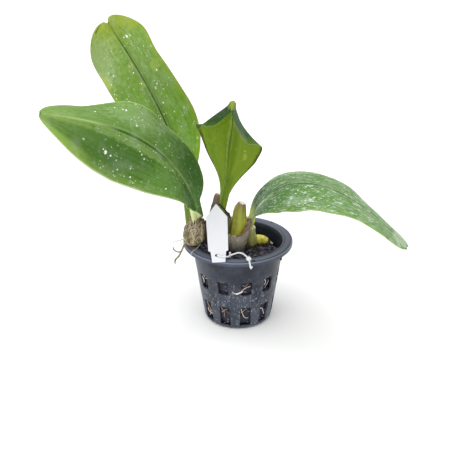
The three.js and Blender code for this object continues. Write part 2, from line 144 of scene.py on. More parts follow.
def add_sheet(
    mesh: BMesh,
    columns: int,
    rows: int,
    place: Place,
    is_open: Callable[[int, int], bool] | None = None,
) -> list[BMVert]:
    """Adds a grid that is bent into shape, with its edges joined where they meet.

    Args:
        mesh: The mesh that the sheet is added to.
        columns: Faces across.
        rows: Faces along.
        place: Gives the place for a share across and a share along, each from 0 to 1.
        is_open: Says which cells are left out, by column and row.

    Returns:
        The sheet's vertices.
    """
    mesh.loops.layers.uv.verify()
    made = bmesh.ops.create_grid(mesh, x_segments=columns, y_segments=rows, size=0.5, calc_uvs=True)["verts"]
    if is_open:
        gone = []
        for cell in dict.fromkeys(face for vert in made for face in vert.link_faces):
            centre = cell.calc_center_median()
            if is_open(int((centre.x + 0.5) * columns), int((centre.y + 0.5) * rows)):
                gone.append(cell)
        bmesh.ops.delete(mesh, geom=gone, context="FACES")
        made = [vert for vert in made if vert.is_valid]
    for vert in made:
        vert.co = place(vert.co.x + 0.5, vert.co.y + 0.5)
    bmesh.ops.remove_doubles(mesh, verts=made, dist=1e-7)
    return [vert for vert in made if vert.is_valid]


def tint_layer(mesh: BMesh) -> BMLayerItem:
    """Gives the layer of tints, which the finishes read as the attribute tint."""
    return mesh.verts.layers.float.get("tint") or mesh.verts.layers.float.new("tint")


def dome(share: float, low: float, high: float) -> float:
    """Rounds the ends of a rod: a factor on its radius that is 0 at both ends.

    Args:
        share: The place along the rod, from 0 to 1.
        low: The length of the rounding at the start, as a share.
        high: The length of the rounding at the end, as a share.

    Returns:
        The factor, from 0 to 1.
    """
    near = 1 - share / low if low and share < low else 0.0
    far = 1 - (1 - share) / high if high and 1 - share < high else 0.0
    return math.sqrt(max(0.0, 1 - max(near, far) ** 2))


def add_strand(
    mesh: BMesh,
    line: Sequence[Vector],
    radius: Callable[[float], float] | float,
    sides: int = 6,
    rows: int = 12,
    tint: float = 0.5,
) -> None:
    """Adds a closed round strand along a smooth line.

    Args:
        mesh: The mesh that the strand is added to.
        line: The places that it runs through.
        radius: Its radius, or the radius at a share of its length.
        sides: Faces round it.
        rows: Faces along it.
        tint: Its tint, from 0 to 1.
    """
    layer = tint_layer(mesh)

    def place(across: float, share: float) -> Vector:
        """Gives a place on the strand's skin."""
        size = radius(share) if callable(radius) else radius
        size *= dome(share, 0.5 / rows, 0.5 / rows) if 0 < share < 1 else 0
        return along(line, share) + around(heading(line, share), across) * size

    for vert in add_sheet(mesh, sides, rows, place):
        vert[layer] = tint


def edges_of(verts: Sequence[BMVert]) -> list[BMEdge]:
    """Gives the edges that touch some vertices, each once and in a steady order."""
    return list(dict.fromkeys(edge for vert in verts for edge in vert.link_edges))


def cut_back(
    mesh: BMesh, parts: Sequence, size: float, segments: int, affect: str = "VERTICES"
) -> list[BMFace]:
    """Cuts corners or edges back to a round, and gives the new faces."""
    return bmesh.ops.bevel(mesh, geom=parts, offset=size, offset_type="OFFSET", segments=segments,
                           profile=0.5, affect=affect, material=-1)["faces"]


def level_way(draw: random.Random) -> Vector:
    """Draws a level direction."""
    return Vector((draw.gauss(0, 1), draw.gauss(0, 1), 0)).normalized()


def finish_mesh(mesh: BMesh, name: str, *materials: Material, is_smooth: bool = True) -> Object:
    """Turns a bmesh into an object of the scene, with its faces outwards.

    Args:
        mesh: The mesh, which is freed.
        name: The piece's name.
        materials: Its materials, in the order of their slots.
        is_smooth: Whether its faces are shaded smooth.

    Returns:
        The new object.
    """
    bmesh.ops.recalc_face_normals(mesh, faces=mesh.faces)
    for face in mesh.faces:
        face.smooth = is_smooth
    data = bpy.data.meshes.new(name)
    mesh.to_mesh(data)
    mesh.free()
    piece = bpy.data.objects.new(name, data)
    bpy.context.scene.collection.objects.link(piece)
    for material in materials:
        data.materials.append(material)
    return piece


def add_wall(piece: Object, thickness: float, offset: float = -1.0) -> None:
    """Gives a sheet its thickness; the offset says on which side of it."""
    wall = piece.modifiers.new("wall", "SOLIDIFY")
    wall.thickness = thickness
    wall.offset = offset
    wall.use_even_offset = True


def soften_edges(piece: Object, width: float, segments: int = 2, degrees: float = 40) -> None:
    """Rounds the edges of a piece that are sharper than an angle."""
    edges = piece.modifiers.new("edges", "BEVEL")
    edges.width = width
    edges.segments = segments
    edges.limit_method = "ANGLE"
    edges.angle_limit = math.radians(degrees)
    edges.harden_normals = False


def settle(piece: Object, slot: str, *nodes: str) -> None:
    """Sets a piece on the plant's one body, and hides the nodes that it stands for."""
    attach(piece, "root")
    if nodes:
        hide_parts(*nodes)
    log.info("%s: %d faces", piece.name, len(piece.data.polygons))


# Finishes


def paint(code: str) -> Colour:
    """Gives a linear colour from a code such as 7f9f35."""
    parts = [int(code[i : i + 2], 16) / 255 for i in (0, 2, 4)]
    red, green, blue = [p / 12.92 if p <= 0.04045 else ((p + 0.055) / 1.055) ** 2.4 for p in parts]
    return (red, green, blue, 1.0)


class Graph:
    """The nodes of one material and the colour that they give, built up coat by coat."""

    def __init__(self, name: str, roughness: float = 0.5, specular: float = 0.5) -> None:
        """Starts a material whose shader has a plain roughness and specular level."""
        self.material = bpy.data.materials.new(name)
        self.material.use_nodes = True
        self.tree = self.material.node_tree
        self.shader = self.tree.nodes["Principled BSDF"]
        self.shader.inputs["Roughness"].default_value = roughness
        self.shader.inputs["Specular IOR Level"].default_value = specular
        source = self.tree.nodes.new("ShaderNodeTexCoord")
        self.object = source.outputs["Object"]
        self.uv = source.outputs["UV"]
        self.colour: Value = (0.8, 0.8, 0.8, 1.0)

    def add(self, kind: str, inputs: dict[int | str, Value], **settings: object) -> Node:
        """Adds a node.

        Args:
            kind: The node's type.
            inputs: Numbers, colours or sockets for its inputs, by name or place.
            settings: Its own options.

        Returns:
            The node.
        """
        node = self.tree.nodes.new(kind)
        for name, value in settings.items():
            setattr(node, name, value)
        for name, value in inputs.items():
            self.set(node.inputs[name], value)
        return node

    def set(self, socket: NodeSocket, value: Value) -> None:
        """Links a socket to another, or gives it a value of its own."""
        if isinstance(value, NodeSocket):
            self.tree.links.new(value, socket)
        else:
            socket.default_value = value

    def sum(self, operation: str, first: Value, second: Value = 0.0, third: Value = 0.0) -> NodeSocket:
        """Gives the result of a sum such as MULTIPLY or SINE."""
        inputs = {0: first, 1: second, 2: third}
        return self.add("ShaderNodeMath", inputs, operation=operation).outputs[0]

    def times(self, first: Value, second: Value) -> NodeSocket:
        """Gives the product of two values."""
        return self.sum("MULTIPLY", first, second)

    def rise(self, value: Value, low: float, high: float, least: float = 0, most: float = 1) -> NodeSocket:
        """Gives least below low and most above high, with an eased rise between them."""
        inputs = {0: value, 1: low, 2: high, 3: least, 4: most}
        return self.add("ShaderNodeMapRange", inputs, interpolation_type="SMOOTHSTEP").outputs[0]

    def near(self, value: Value, middle: float, width: float) -> NodeSocket:
        """Gives 1 where a value is at the middle, and 0 where it is a width away or more."""
        return self.rise(self.sum("ABSOLUTE", self.sum("SUBTRACT", value, middle)), 0, width, 1, 0)

    def parts(self, vector: Value) -> tuple[NodeSocket, NodeSocket, NodeSocket]:
        """Gives the three numbers of a vector."""
        outputs = self.add("ShaderNodeSeparateXYZ", {0: vector}).outputs
        return outputs[0], outputs[1], outputs[2]

    def scaled(self, vector: Value, scale: Triple) -> NodeSocket:
        """Gives a vector with its three numbers scaled."""
        return self.add("ShaderNodeMapping", {"Vector": vector, "Scale": scale}).outputs[0]

    def distance(self, vector: Value, centre: Triple) -> NodeSocket:
        """Gives how far a vector is from a centre."""
        return self.add("ShaderNodeVectorMath", {0: vector, 1: centre}, operation="DISTANCE").outputs["Value"]

    def tint(self) -> NodeSocket:
        """Gives the tint of each chip or strand."""
        return self.add("ShaderNodeAttribute", {}, attribute_name="tint").outputs["Fac"]

    def cloud(self, vector: Value, size: float, detail: float = 3, roughness: float = 0.55) -> NodeSocket:
        """Gives soft noise from 0 to 1.

        Args:
            vector: The coordinates that it is drawn on.
            size: How large its patches are, in the same unit.
            detail: How many finer layers it has.
            roughness: How strong the finer layers are.

        Returns:
            The value.
        """
        inputs = {"Vector": vector, "Scale": 1 / size, "Detail": detail, "Roughness": roughness}
        return self.add("ShaderNodeTexNoise", inputs).outputs["Fac"]

    def specks(self, vector: Value, spacing: float, size: float, share: float = 1.0) -> NodeSocket:
        """Gives small round spots of 1 on 0, one at most in each cell of a random net.

        Args:
            vector: The coordinates that they are drawn on.
            spacing: The size of a cell.
            size: A spot's radius as a share of the cell.
            share: The share of the cells that have a spot.

        Returns:
            The value.
        """
        node = self.add("ShaderNodeTexVoronoi", {"Vector": vector, "Scale": 1 / spacing})
        spot = self.rise(node.outputs["Distance"], size * 0.5, size, 1, 0)
        red, green, _ = self.parts(node.outputs["Color"])
        weight = self.times(self.rise(red, 1 - share, 1 - share * 0.4), self.rise(green, 0, 1, 0.4, 1))
        return self.times(spot, weight)

    def ramp(self, value: Value, stops: Stops) -> NodeSocket:
        """Gives the colour at a value, from colour codes at rising values."""
        node = self.add("ShaderNodeValToRGB", {0: value})
        elements = node.color_ramp.elements
        for _ in range(len(stops) - 2):
            elements.new(0.5)
        for element, (position, code) in zip(elements, stops):
            element.position = position
            element.color = paint(code)
        return node.outputs[0]

    def coat(self, share: Value, colour: str | NodeSocket) -> None:
        """Lays a share of another colour, or of a colour code's, over the colour so far."""
        over = paint(colour) if isinstance(colour, str) else colour
        inputs = {0: share, 6: self.colour, 7: over}
        self.colour = self.add("ShaderNodeMix", inputs, data_type="RGBA").outputs[2]

    def bump(self, height: Value, distance: float, under: NodeSocket | None = None) -> NodeSocket:
        """Gives a bumped normal for a height from 0 to 1 of a distance in metres."""
        inputs = {"Height": height, "Distance": distance, "Strength": 1.0}
        if under:
            inputs["Normal"] = under
        return self.add("ShaderNodeBump", inputs).outputs[0]

    def dress(self, **sockets: Value) -> Material:
        """Sets the colour and other sockets of the shader, and gives the material."""
        for name, value in {"Base Color": self.colour, **sockets}.items():
            self.set(self.shader.inputs[name], value)
        return self.material


@dataclass(frozen=True)
class PotPlastic:
    """Dark slate plastic, dusty round its windows."""

    body: str = "1e2430"
    # Painted highlight on the rim, strongest on its top.
    rim: str = "5e6578"
    dust: str = "7d8496"
    # Painted shade in the rim's groove rings.
    groove: str = "14161c"
    # Painted highlight on the rim's inner and outer edges.
    light: str = "8c93a6"
    # Painted shade in and round the rim's holes.
    hole: str = "0d0f13"
    fleck: str = "a2a8b6"
    smudge: str = "8e96a6"

    def material(self, holes: Sequence[Vector]) -> Material:
        """Gives the material, from the places of the rim's holes."""
        graph = Graph("pot_plastic", roughness=0.42, specular=0.32)
        _, _, height = graph.parts(graph.object)
        broad = graph.cloud(graph.object, 22 * MM, 4)
        fine = graph.cloud(graph.object, 0.9 * MM, 2)
        graph.colour = paint(self.body)
        graph.coat(graph.rise(broad, 0.35, 0.7, 0, 0.2), self.dust)
        graph.coat(graph.rise(height, 4 * MM, 30 * MM, 0.12, 0), self.dust)
        # Paints a highlight on the rim: a quarter strength on its lip, full strength on its top.
        upper = graph.rise(height, 77.2 * MM, 78.3 * MM, 0.25, 1)
        graph.coat(graph.times(graph.rise(height, 73 * MM, 75 * MM), upper), self.rim)
        self.mark_rim(graph, height, holes)
        low = graph.near(height, 26 * MM, 36 * MM)
        film = graph.times(graph.rise(fine, 0.42, 0.75), graph.rise(broad, 0.3, 0.65, 0.15, 1))
        graph.coat(graph.times(film, graph.rise(low, 0, 1, 0.12, 0.36)), self.dust)
        torn = graph.scaled(graph.object, (1, 1, 0.7))
        spots = graph.specks(torn, 3.4 * MM, 0.26, 0.95)
        small = graph.times(graph.specks(torn, 1.7 * MM, 0.34, 0.95), 0.75)
        dusty = graph.times(graph.sum("MAXIMUM", spots, small), graph.rise(low, 0, 0.6, 0.1, 1))
        graph.coat(graph.times(dusty, graph.rise(fine, 0.25, 0.5, 0.3, 0.9)), self.fleck)
        smudge = graph.rise(graph.cloud(torn, 3.4 * MM, 3, 0.6), 0.57, 0.67)
        graph.coat(graph.times(smudge, graph.rise(low, 0.1, 0.8, 0, 0.4)), self.smudge)
        rough = graph.rise(graph.sum("ADD", film, dusty), 0, 1, 0.34, 0.68)
        relief = graph.bump(graph.cloud(graph.object, 0.35 * MM, 3), 0.02 * MM)
        return graph.dress(Roughness=rough, Normal=relief)

    def mark_rim(self, graph: Graph, height: NodeSocket, holes: Sequence[Vector]) -> None:
        """Paints shade in the rim's groove rings and holes, and highlights on its edges."""
        flat = graph.scaled(graph.object, (1, 1, 0))
        radius = graph.distance(flat, (0, 0, 0))
        top = graph.rise(height, 76 * MM, 77 * MM)
        # Dark rings paint shade beside the rim's inner ridge and at its step; light rings paint highlights on
        # its inner and outer edges.
        groove_shade_rings = graph.near(radius, 42.6 * MM, 1.1 * MM), graph.near(radius, 48.1 * MM, 0.9 * MM)
        lights = graph.near(radius, 41.2 * MM, 0.6 * MM), graph.near(radius, 49.4 * MM, 0.7 * MM)
        for rings, strength, colour in ((groove_shade_rings, 0.7, self.groove), (lights, 0.6, self.light)):
            graph.coat(graph.times(top, graph.times(graph.sum("MAXIMUM", *rings), strength)), colour)
        for hole in holes:
            away = graph.distance(flat, (hole.x, hole.y, 0))
            graph.coat(graph.rise(away, 1.1 * MM, 1.9 * MM, 0.9, 0), self.hole)


@dataclass(frozen=True)
class ChipFinish:
    """Damp bark and charcoal chips, nearly black, with brown ones among them."""

    name: str
    stops: Stops
    dust: float = 0.2
    shade: str = "232228"
    fleck: str = "b9b4ab"

    def material(self) -> Material:
        """Gives the material."""
        graph = Graph(self.name, roughness=0.85, specular=0.3)
        graph.colour = graph.ramp(graph.tint(), self.stops)
        cloud = graph.cloud(graph.object, 2.2 * MM, 5, 0.65)
        graph.coat(graph.rise(cloud, 0.35, 0.7, 0, 0.5), self.shade)
        pale = graph.specks(graph.object, 1.6 * MM, 0.24, 0.3)
        graph.coat(graph.times(pale, self.dust), self.fleck)
        relief = graph.bump(cloud, 0.5 * MM)
        return graph.dress(Normal=relief)


@dataclass(frozen=True)
class FibreFinish:
    """Dry plant stuff in strands: each strand has its own tint, darker in places."""

    name: str
    stops: Stops
    grain: float = 1.2 * MM
    roughness: float = 0.8

    def material(self) -> Material:
        """Gives the material."""
        graph = Graph(self.name, roughness=self.roughness, specular=0.3)
        cloud = graph.cloud(graph.object, self.grain, 3, 0.6)
        value = graph.sum("ADD", graph.tint(), graph.rise(cloud, 0.2, 0.8, -0.22, 0.22))
        graph.colour = graph.ramp(value, self.stops)
        relief = graph.bump(cloud, 0.12 * MM)
        return graph.dress(Normal=relief)


@dataclass(frozen=True)
class BulbSkin:
    """A ridged bulb's skin: colours from its foot to its top, with painted shade in its furrows."""

    name: str
    stops: Stops
    # Colour of the painted shade in the furrows and towards the foot.
    furrow: str
    ridges: int
    blotch: str = "8a7a5a"
    blotches: float = 0.25
    roughness: float = 0.45
    # Strength of the painted shade in the furrows.
    furrows: float = 0.35
    wrinkle: float = 0.12 * MM
    # Heights in millimetres over which painted shade fades upwards from the foot, and its strength.
    ground: Triple = (0.0, 1.0, 0.0)
    fleck: str = "d9d4bb"

    def material(self) -> Material:
        """Gives the material."""
        graph = Graph(self.name, roughness=self.roughness, specular=0.45)
        across, height, _ = graph.parts(graph.uv)
        _, _, level = graph.parts(graph.object)
        cloud = graph.cloud(graph.object, 5 * MM, 4, 0.6)
        fine = graph.cloud(graph.scaled(graph.object, (1, 1, 0.3)), 0.7 * MM, 3, 0.6)
        shifted = graph.sum("ADD", height, graph.rise(cloud, 0.2, 0.8, -0.06, 0.06))
        graph.colour = graph.ramp(shifted, self.stops)
        # Paints shade along the furrows between the ridges.
        wave = graph.sum("COSINE", graph.times(across, TURN * self.ridges))
        uneven = graph.rise(fine, 0.3, 0.7, self.furrows / 2, self.furrows)
        deep = graph.times(graph.rise(wave, 0.3, -1), uneven)
        graph.coat(deep, self.furrow)
        patch = graph.times(graph.rise(cloud, 0.55, 0.68), graph.rise(fine, 0.3, 0.65))
        graph.coat(graph.times(patch, self.blotches), self.blotch)
        spots = graph.specks(graph.object, 1.5 * MM, 0.2, 0.3)
        graph.coat(graph.times(spots, 0.45), self.fleck)
        # Paints shade towards the foot, up to the ground heights.
        low, high, strength = self.ground
        graph.coat(graph.rise(level, low * MM, high * MM, strength, 0), self.furrow)
        relief = graph.bump(graph.cloud(graph.scaled(graph.object, (1, 1, 0.2)), 1.1 * MM, 3), self.wrinkle)
        return graph.dress(Normal=relief)


class Side(Enum):
    """A half of a leaf, seen from its upper side with the tip away."""

    RIGHT = 0.0
    LEFT = 1.0


@dataclass(frozen=True)
class Patch:
    """A soft spot of another colour on a leaf: where, how large, what colour and how strong."""

    across: float
    height: float
    reach: tuple[float, float]
    colour: str
    strength: float = 0.8


@dataclass(frozen=True)
class Mark:
    """A small sharp mark on a leaf: where, its radius in millimetres and its colour."""

    across: float
    height: float
    radius: float
    colour: str = "f4f6ef"


@dataclass(frozen=True)
class LeafSkin:
    """A leathery leaf skin with long veins, a midrib, a margin and white water marks."""

    name: str
    stops: Stops
    deep: str
    midrib: str
    shine: str
    margin: str
    # The half that is painted lighter or darker, as light falls on it.
    side: Side = Side.LEFT
    half_shading_colour: str = "5f7a3a"
    half_shading_share: float = 0.0
    edge: float = 0.25
    edge_colour: str = "93ac3c"
    # Strength of the painted shade along the midrib's channel, low on the blade.
    midrib_shade: float = 0.35
    marks: float = 0.5
    dashes: float = 0.3
    streaks: float = 0.0
    marks_low: float = 0.0
    marks_high: float = 1.0
    bloom: float = 0.1
    dark_specks: float = 0.0
    roughness: float = 0.42
    specular: float = 0.16
    veins: float = 0.1
    vein_count: int = 17
    ribs: Stops = ()
    pale_foot: tuple[float, float] | None = None
    patches: tuple[Patch, ...] = ()
    spots: tuple[Mark, ...] = ()
    foot_colour: str = "eef6b4"
    bloom_colour: str = "cfd8cd"
    mark_colour: str = "f2f5ef"
    streak_colour: str = "e3ece2"
    speck_colour: str = "4a3a22"

    def material(self, width: float, length: float) -> Material:
        """Gives the material.

        Args:
            width: The blade's full width, so that marks keep their real size.
            length: Its length.

        Returns:
            The material.
        """
        graph = Graph(self.name, roughness=self.roughness, specular=self.specular)
        across, height, _ = graph.parts(graph.uv)
        flat = graph.scaled(graph.uv, (width, length, 0))
        share = graph.sum("ABSOLUTE", graph.sum("MULTIPLY_ADD", across, 2, -1))
        broad = graph.cloud(graph.object, 28 * MM, 3, 0.5)
        mottle = graph.cloud(flat, 5 * MM, 4, 0.6)
        shifted = graph.sum("ADD", height, graph.rise(broad, 0.2, 0.8, -0.03, 0.03))
        graph.colour = graph.ramp(shifted, self.stops)
        graph.coat(graph.rise(mottle, 0.4, 0.72, 0, 0.38), self.deep)
        # Paints shade along the midrib's channel, strongest towards the foot.
        midrib_shade = graph.times(graph.rise(share, 0.02, 0.26, 1, 0), graph.rise(height, 0.95, 0.3, 0, self.midrib_shade))
        graph.coat(midrib_shade, self.deep)
        uneven = graph.rise(mottle, 0.25, 0.7, self.edge * 1.4, self.edge)
        graph.coat(graph.times(graph.rise(share, 0.72, 0.98), uneven), self.edge_colour)
        # Paints one half lighter or darker: painted light and shade for how that half faces the light.
        painted_half = graph.rise(across, 0.47, 0.53, 1 - self.side.value, self.side.value)
        graph.coat(graph.times(painted_half, self.half_shading_share), self.half_shading_colour)
        streak = graph.cloud(graph.scaled(graph.uv, (width, length * 0.02, 0)), 1.3 * MM, 2, 0.5)
        graph.coat(graph.rise(streak, 0.4, 0.7, 0, 0.14), self.shine)
        graph.coat(graph.rise(streak, 0.5, 0.3, 0, 0.16), self.deep)
        vein = graph.rise(graph.sum("SINE", graph.times(across, TURN * self.vein_count)), 0.75, 1)
        graph.coat(graph.times(vein, self.veins), self.deep)
        for patch in self.patches:
            spot = self.spot(graph, across, height, patch, mottle)
            graph.coat(graph.times(spot, patch.strength), patch.colour)
        if self.pale_foot:
            slope, level = self.pale_foot
            sideways, _, up = graph.parts(graph.object)
            slant = graph.sum("MULTIPLY_ADD", sideways, slope, up)
            below = graph.rise(slant, (level - 1) * MM, (level + 1) * MM, 1, 0)
            graph.coat(graph.times(below, graph.rise(height, 0.16, 0.24, 1, 0)), self.foot_colour)
        self.add_marks(graph, flat, height)
        torn = graph.rise(graph.cloud(flat, 1.1 * MM, 3, 0.7), 0.3, 0.7, -0.6, 0.6)
        for mark in self.spots:
            size = mark.radius * MM
            away = graph.distance(flat, (mark.across * width, mark.height * length, 0))
            ragged = graph.sum("MULTIPLY_ADD", torn, size, away)
            graph.coat(graph.rise(ragged, size * 0.8, size * 1.25, 1, 0), mark.colour)
        # Paints a highlight along both shoulders of the midrib.
        graph.coat(graph.times(graph.near(share, 0.048, 0.026), 0.35), self.shine)
        rib = graph.ramp(height, self.ribs) if self.ribs else self.midrib
        graph.coat(graph.times(graph.rise(share, 0.005, 0.034, 1, 0), 0.85), rib)
        graph.coat(graph.times(graph.rise(share, 0.96, 0.985), 0.6), self.margin)
        bloom = graph.times(graph.rise(graph.cloud(graph.object, 14 * MM, 4, 0.6), 0.45, 0.75), self.bloom)
        graph.coat(bloom, self.bloom_colour)
        rough = graph.rise(mottle, 0.3, 0.8, self.roughness - 0.05, self.roughness + 0.14)
        relief = graph.bump(graph.sum("ADD", graph.times(vein, 0.6), graph.times(streak, 0.5)), 0.06 * MM)
        relief = graph.bump(graph.cloud(graph.object, 0.6 * MM, 2), 0.03 * MM, relief)
        return graph.dress(Roughness=rough, Normal=relief)

    def spot(
        self, graph: Graph, across: NodeSocket, height: NodeSocket, patch: Patch, mottle: NodeSocket
    ) -> NodeSocket:
        """Gives the soft ragged form of one patch, from 0 to 1."""
        squares = []
        for value, middle, reach in zip((across, height), (patch.across, patch.height), patch.reach):
            away = graph.sum("MULTIPLY_ADD", value, 1 / reach, -middle / reach)
            squares.append(graph.times(away, away))
        distance = graph.sum("SQRT", graph.sum("ADD", *squares))
        ragged = graph.sum("ADD", distance, graph.rise(mottle, 0.2, 0.8, -0.35, 0.35))
        return graph.rise(ragged, 0.45, 1.0, 1, 0)

    def add_marks(self, graph: Graph, flat: NodeSocket, height: NodeSocket) -> None:
        """Adds white water marks and dark specks."""
        region = graph.times(
            graph.rise(height, self.marks_low - 0.1, self.marks_low + 0.05),
            graph.rise(height, self.marks_high - 0.05, self.marks_high + 0.1, 1, 0),
        )
        clumps = graph.rise(graph.cloud(flat, 15 * MM, 3, 0.6), 0.42, 0.6, 0.1, 1)
        dashes = graph.times(graph.specks(graph.scaled(flat, (1, 0.3, 1)), 1.9 * MM, 0.31, 0.85), self.dashes)
        drops = graph.specks(flat, 5.4 * MM, 0.19, 0.35)
        dots = graph.specks(flat, 2.3 * MM, 0.29, 0.32)
        cells = graph.add("ShaderNodeTexVoronoi", {"Vector": flat, "Scale": 1 / (19 * MM)})
        torn = graph.rise(graph.cloud(flat, 1.6 * MM, 3, 0.7), 0.3, 0.7, -0.05, 0.06)
        splats = graph.rise(graph.sum("ADD", cells.outputs["Distance"], torn), 0.045, 0.075, 1, 0)
        white = dashes
        for kind in (dots, drops, splats):
            white = graph.sum("MAXIMUM", white, kind)
        placed = graph.times(white, graph.times(clumps, region))
        graph.coat(graph.times(placed, self.marks), self.mark_colour)
        if self.streaks:
            lines = graph.rise(graph.cloud(graph.scaled(flat, (1, 0.09, 1)), 1.1 * MM, 2, 0.6), 0.5, 0.68)
            broken = graph.rise(graph.cloud(flat, 3.2 * MM, 3, 0.6), 0.4, 0.62)
            film = graph.times(graph.times(lines, broken), region)
            graph.coat(graph.times(film, self.streaks), self.streak_colour)
        dark = graph.specks(flat, 4.2 * MM, 0.2, 0.4)
        graph.coat(graph.times(dark, self.dark_specks), self.speck_colour)


@dataclass(frozen=True)
class PaperFinish:
    """Dry papery sheath: long veins, dark patches and a pale torn rim."""

    stops: Stops = ((0.0, "7c766d"), (0.3, "aaa295"), (0.65, "c9c0af"), (0.95, "dcd2be"))
    vein: str = "5d5449"
    rim: str = "d3c8b0"

    def material(self) -> Material:
        """Gives the material."""
        graph = Graph("sheath_paper", roughness=0.7, specular=0.35)
        _, height, _ = graph.parts(graph.uv)
        cloud = graph.cloud(graph.object, 3.5 * MM, 4, 0.6)
        shifted = graph.sum("ADD", height, graph.rise(cloud, 0.2, 0.8, -0.25, 0.25))
        graph.colour = graph.ramp(shifted, self.stops)
        lines = graph.cloud(graph.scaled(graph.uv, (1, 0.05, 0)), 0.008, 3, 0.6)
        graph.coat(graph.rise(lines, 0.45, 0.65, 0, 0.6), self.vein)
        graph.coat(graph.rise(height, 0.93, 0.99, 0, 0.7), self.rim)
        relief = graph.bump(graph.sum("ADD", lines, graph.times(cloud, 0.5)), 0.25 * MM)
        return graph.dress(Normal=relief)


@dataclass(frozen=True)
class TagPlastic:
    """White label plastic, faintly scuffed."""

    body: str = "dddee3"
    cloud: str = "dfe3ec"
    scuff: str = "b9bfca"

    def material(self) -> Material:
        """Gives the material."""
        graph = Graph("tag_plastic", roughness=0.42, specular=0.5)
        cloud = graph.cloud(graph.object, 6 * MM, 4, 0.6)
        fine = graph.cloud(graph.object, 0.8 * MM, 3, 0.6)
        graph.colour = paint(self.body)
        graph.coat(graph.rise(cloud, 0.4, 0.75, 0, 0.5), self.cloud)
        smudge = graph.times(graph.rise(fine, 0.55, 0.8), graph.rise(cloud, 0.45, 0.7))
        graph.coat(graph.times(smudge, 0.4), self.scuff)
        rough = graph.rise(cloud, 0.3, 0.8, 0.34, 0.52)
        return graph.dress(Roughness=rough, Normal=graph.bump(fine, 0.02 * MM))


@dataclass(frozen=True)
class FloorFinish:
    """A pale, even studio floor."""

    body: str = "fbfbfb"
    cloud: str = "f9f9fa"

    def material(self) -> Material:
        """Gives the material."""
        graph = Graph("studio_floor", roughness=0.9, specular=0.1)
        graph.colour = paint(self.body)
        graph.coat(graph.rise(graph.cloud(graph.object, 0.4, 2), 0, 1), self.cloud)
        return graph.dress()


# The net pot


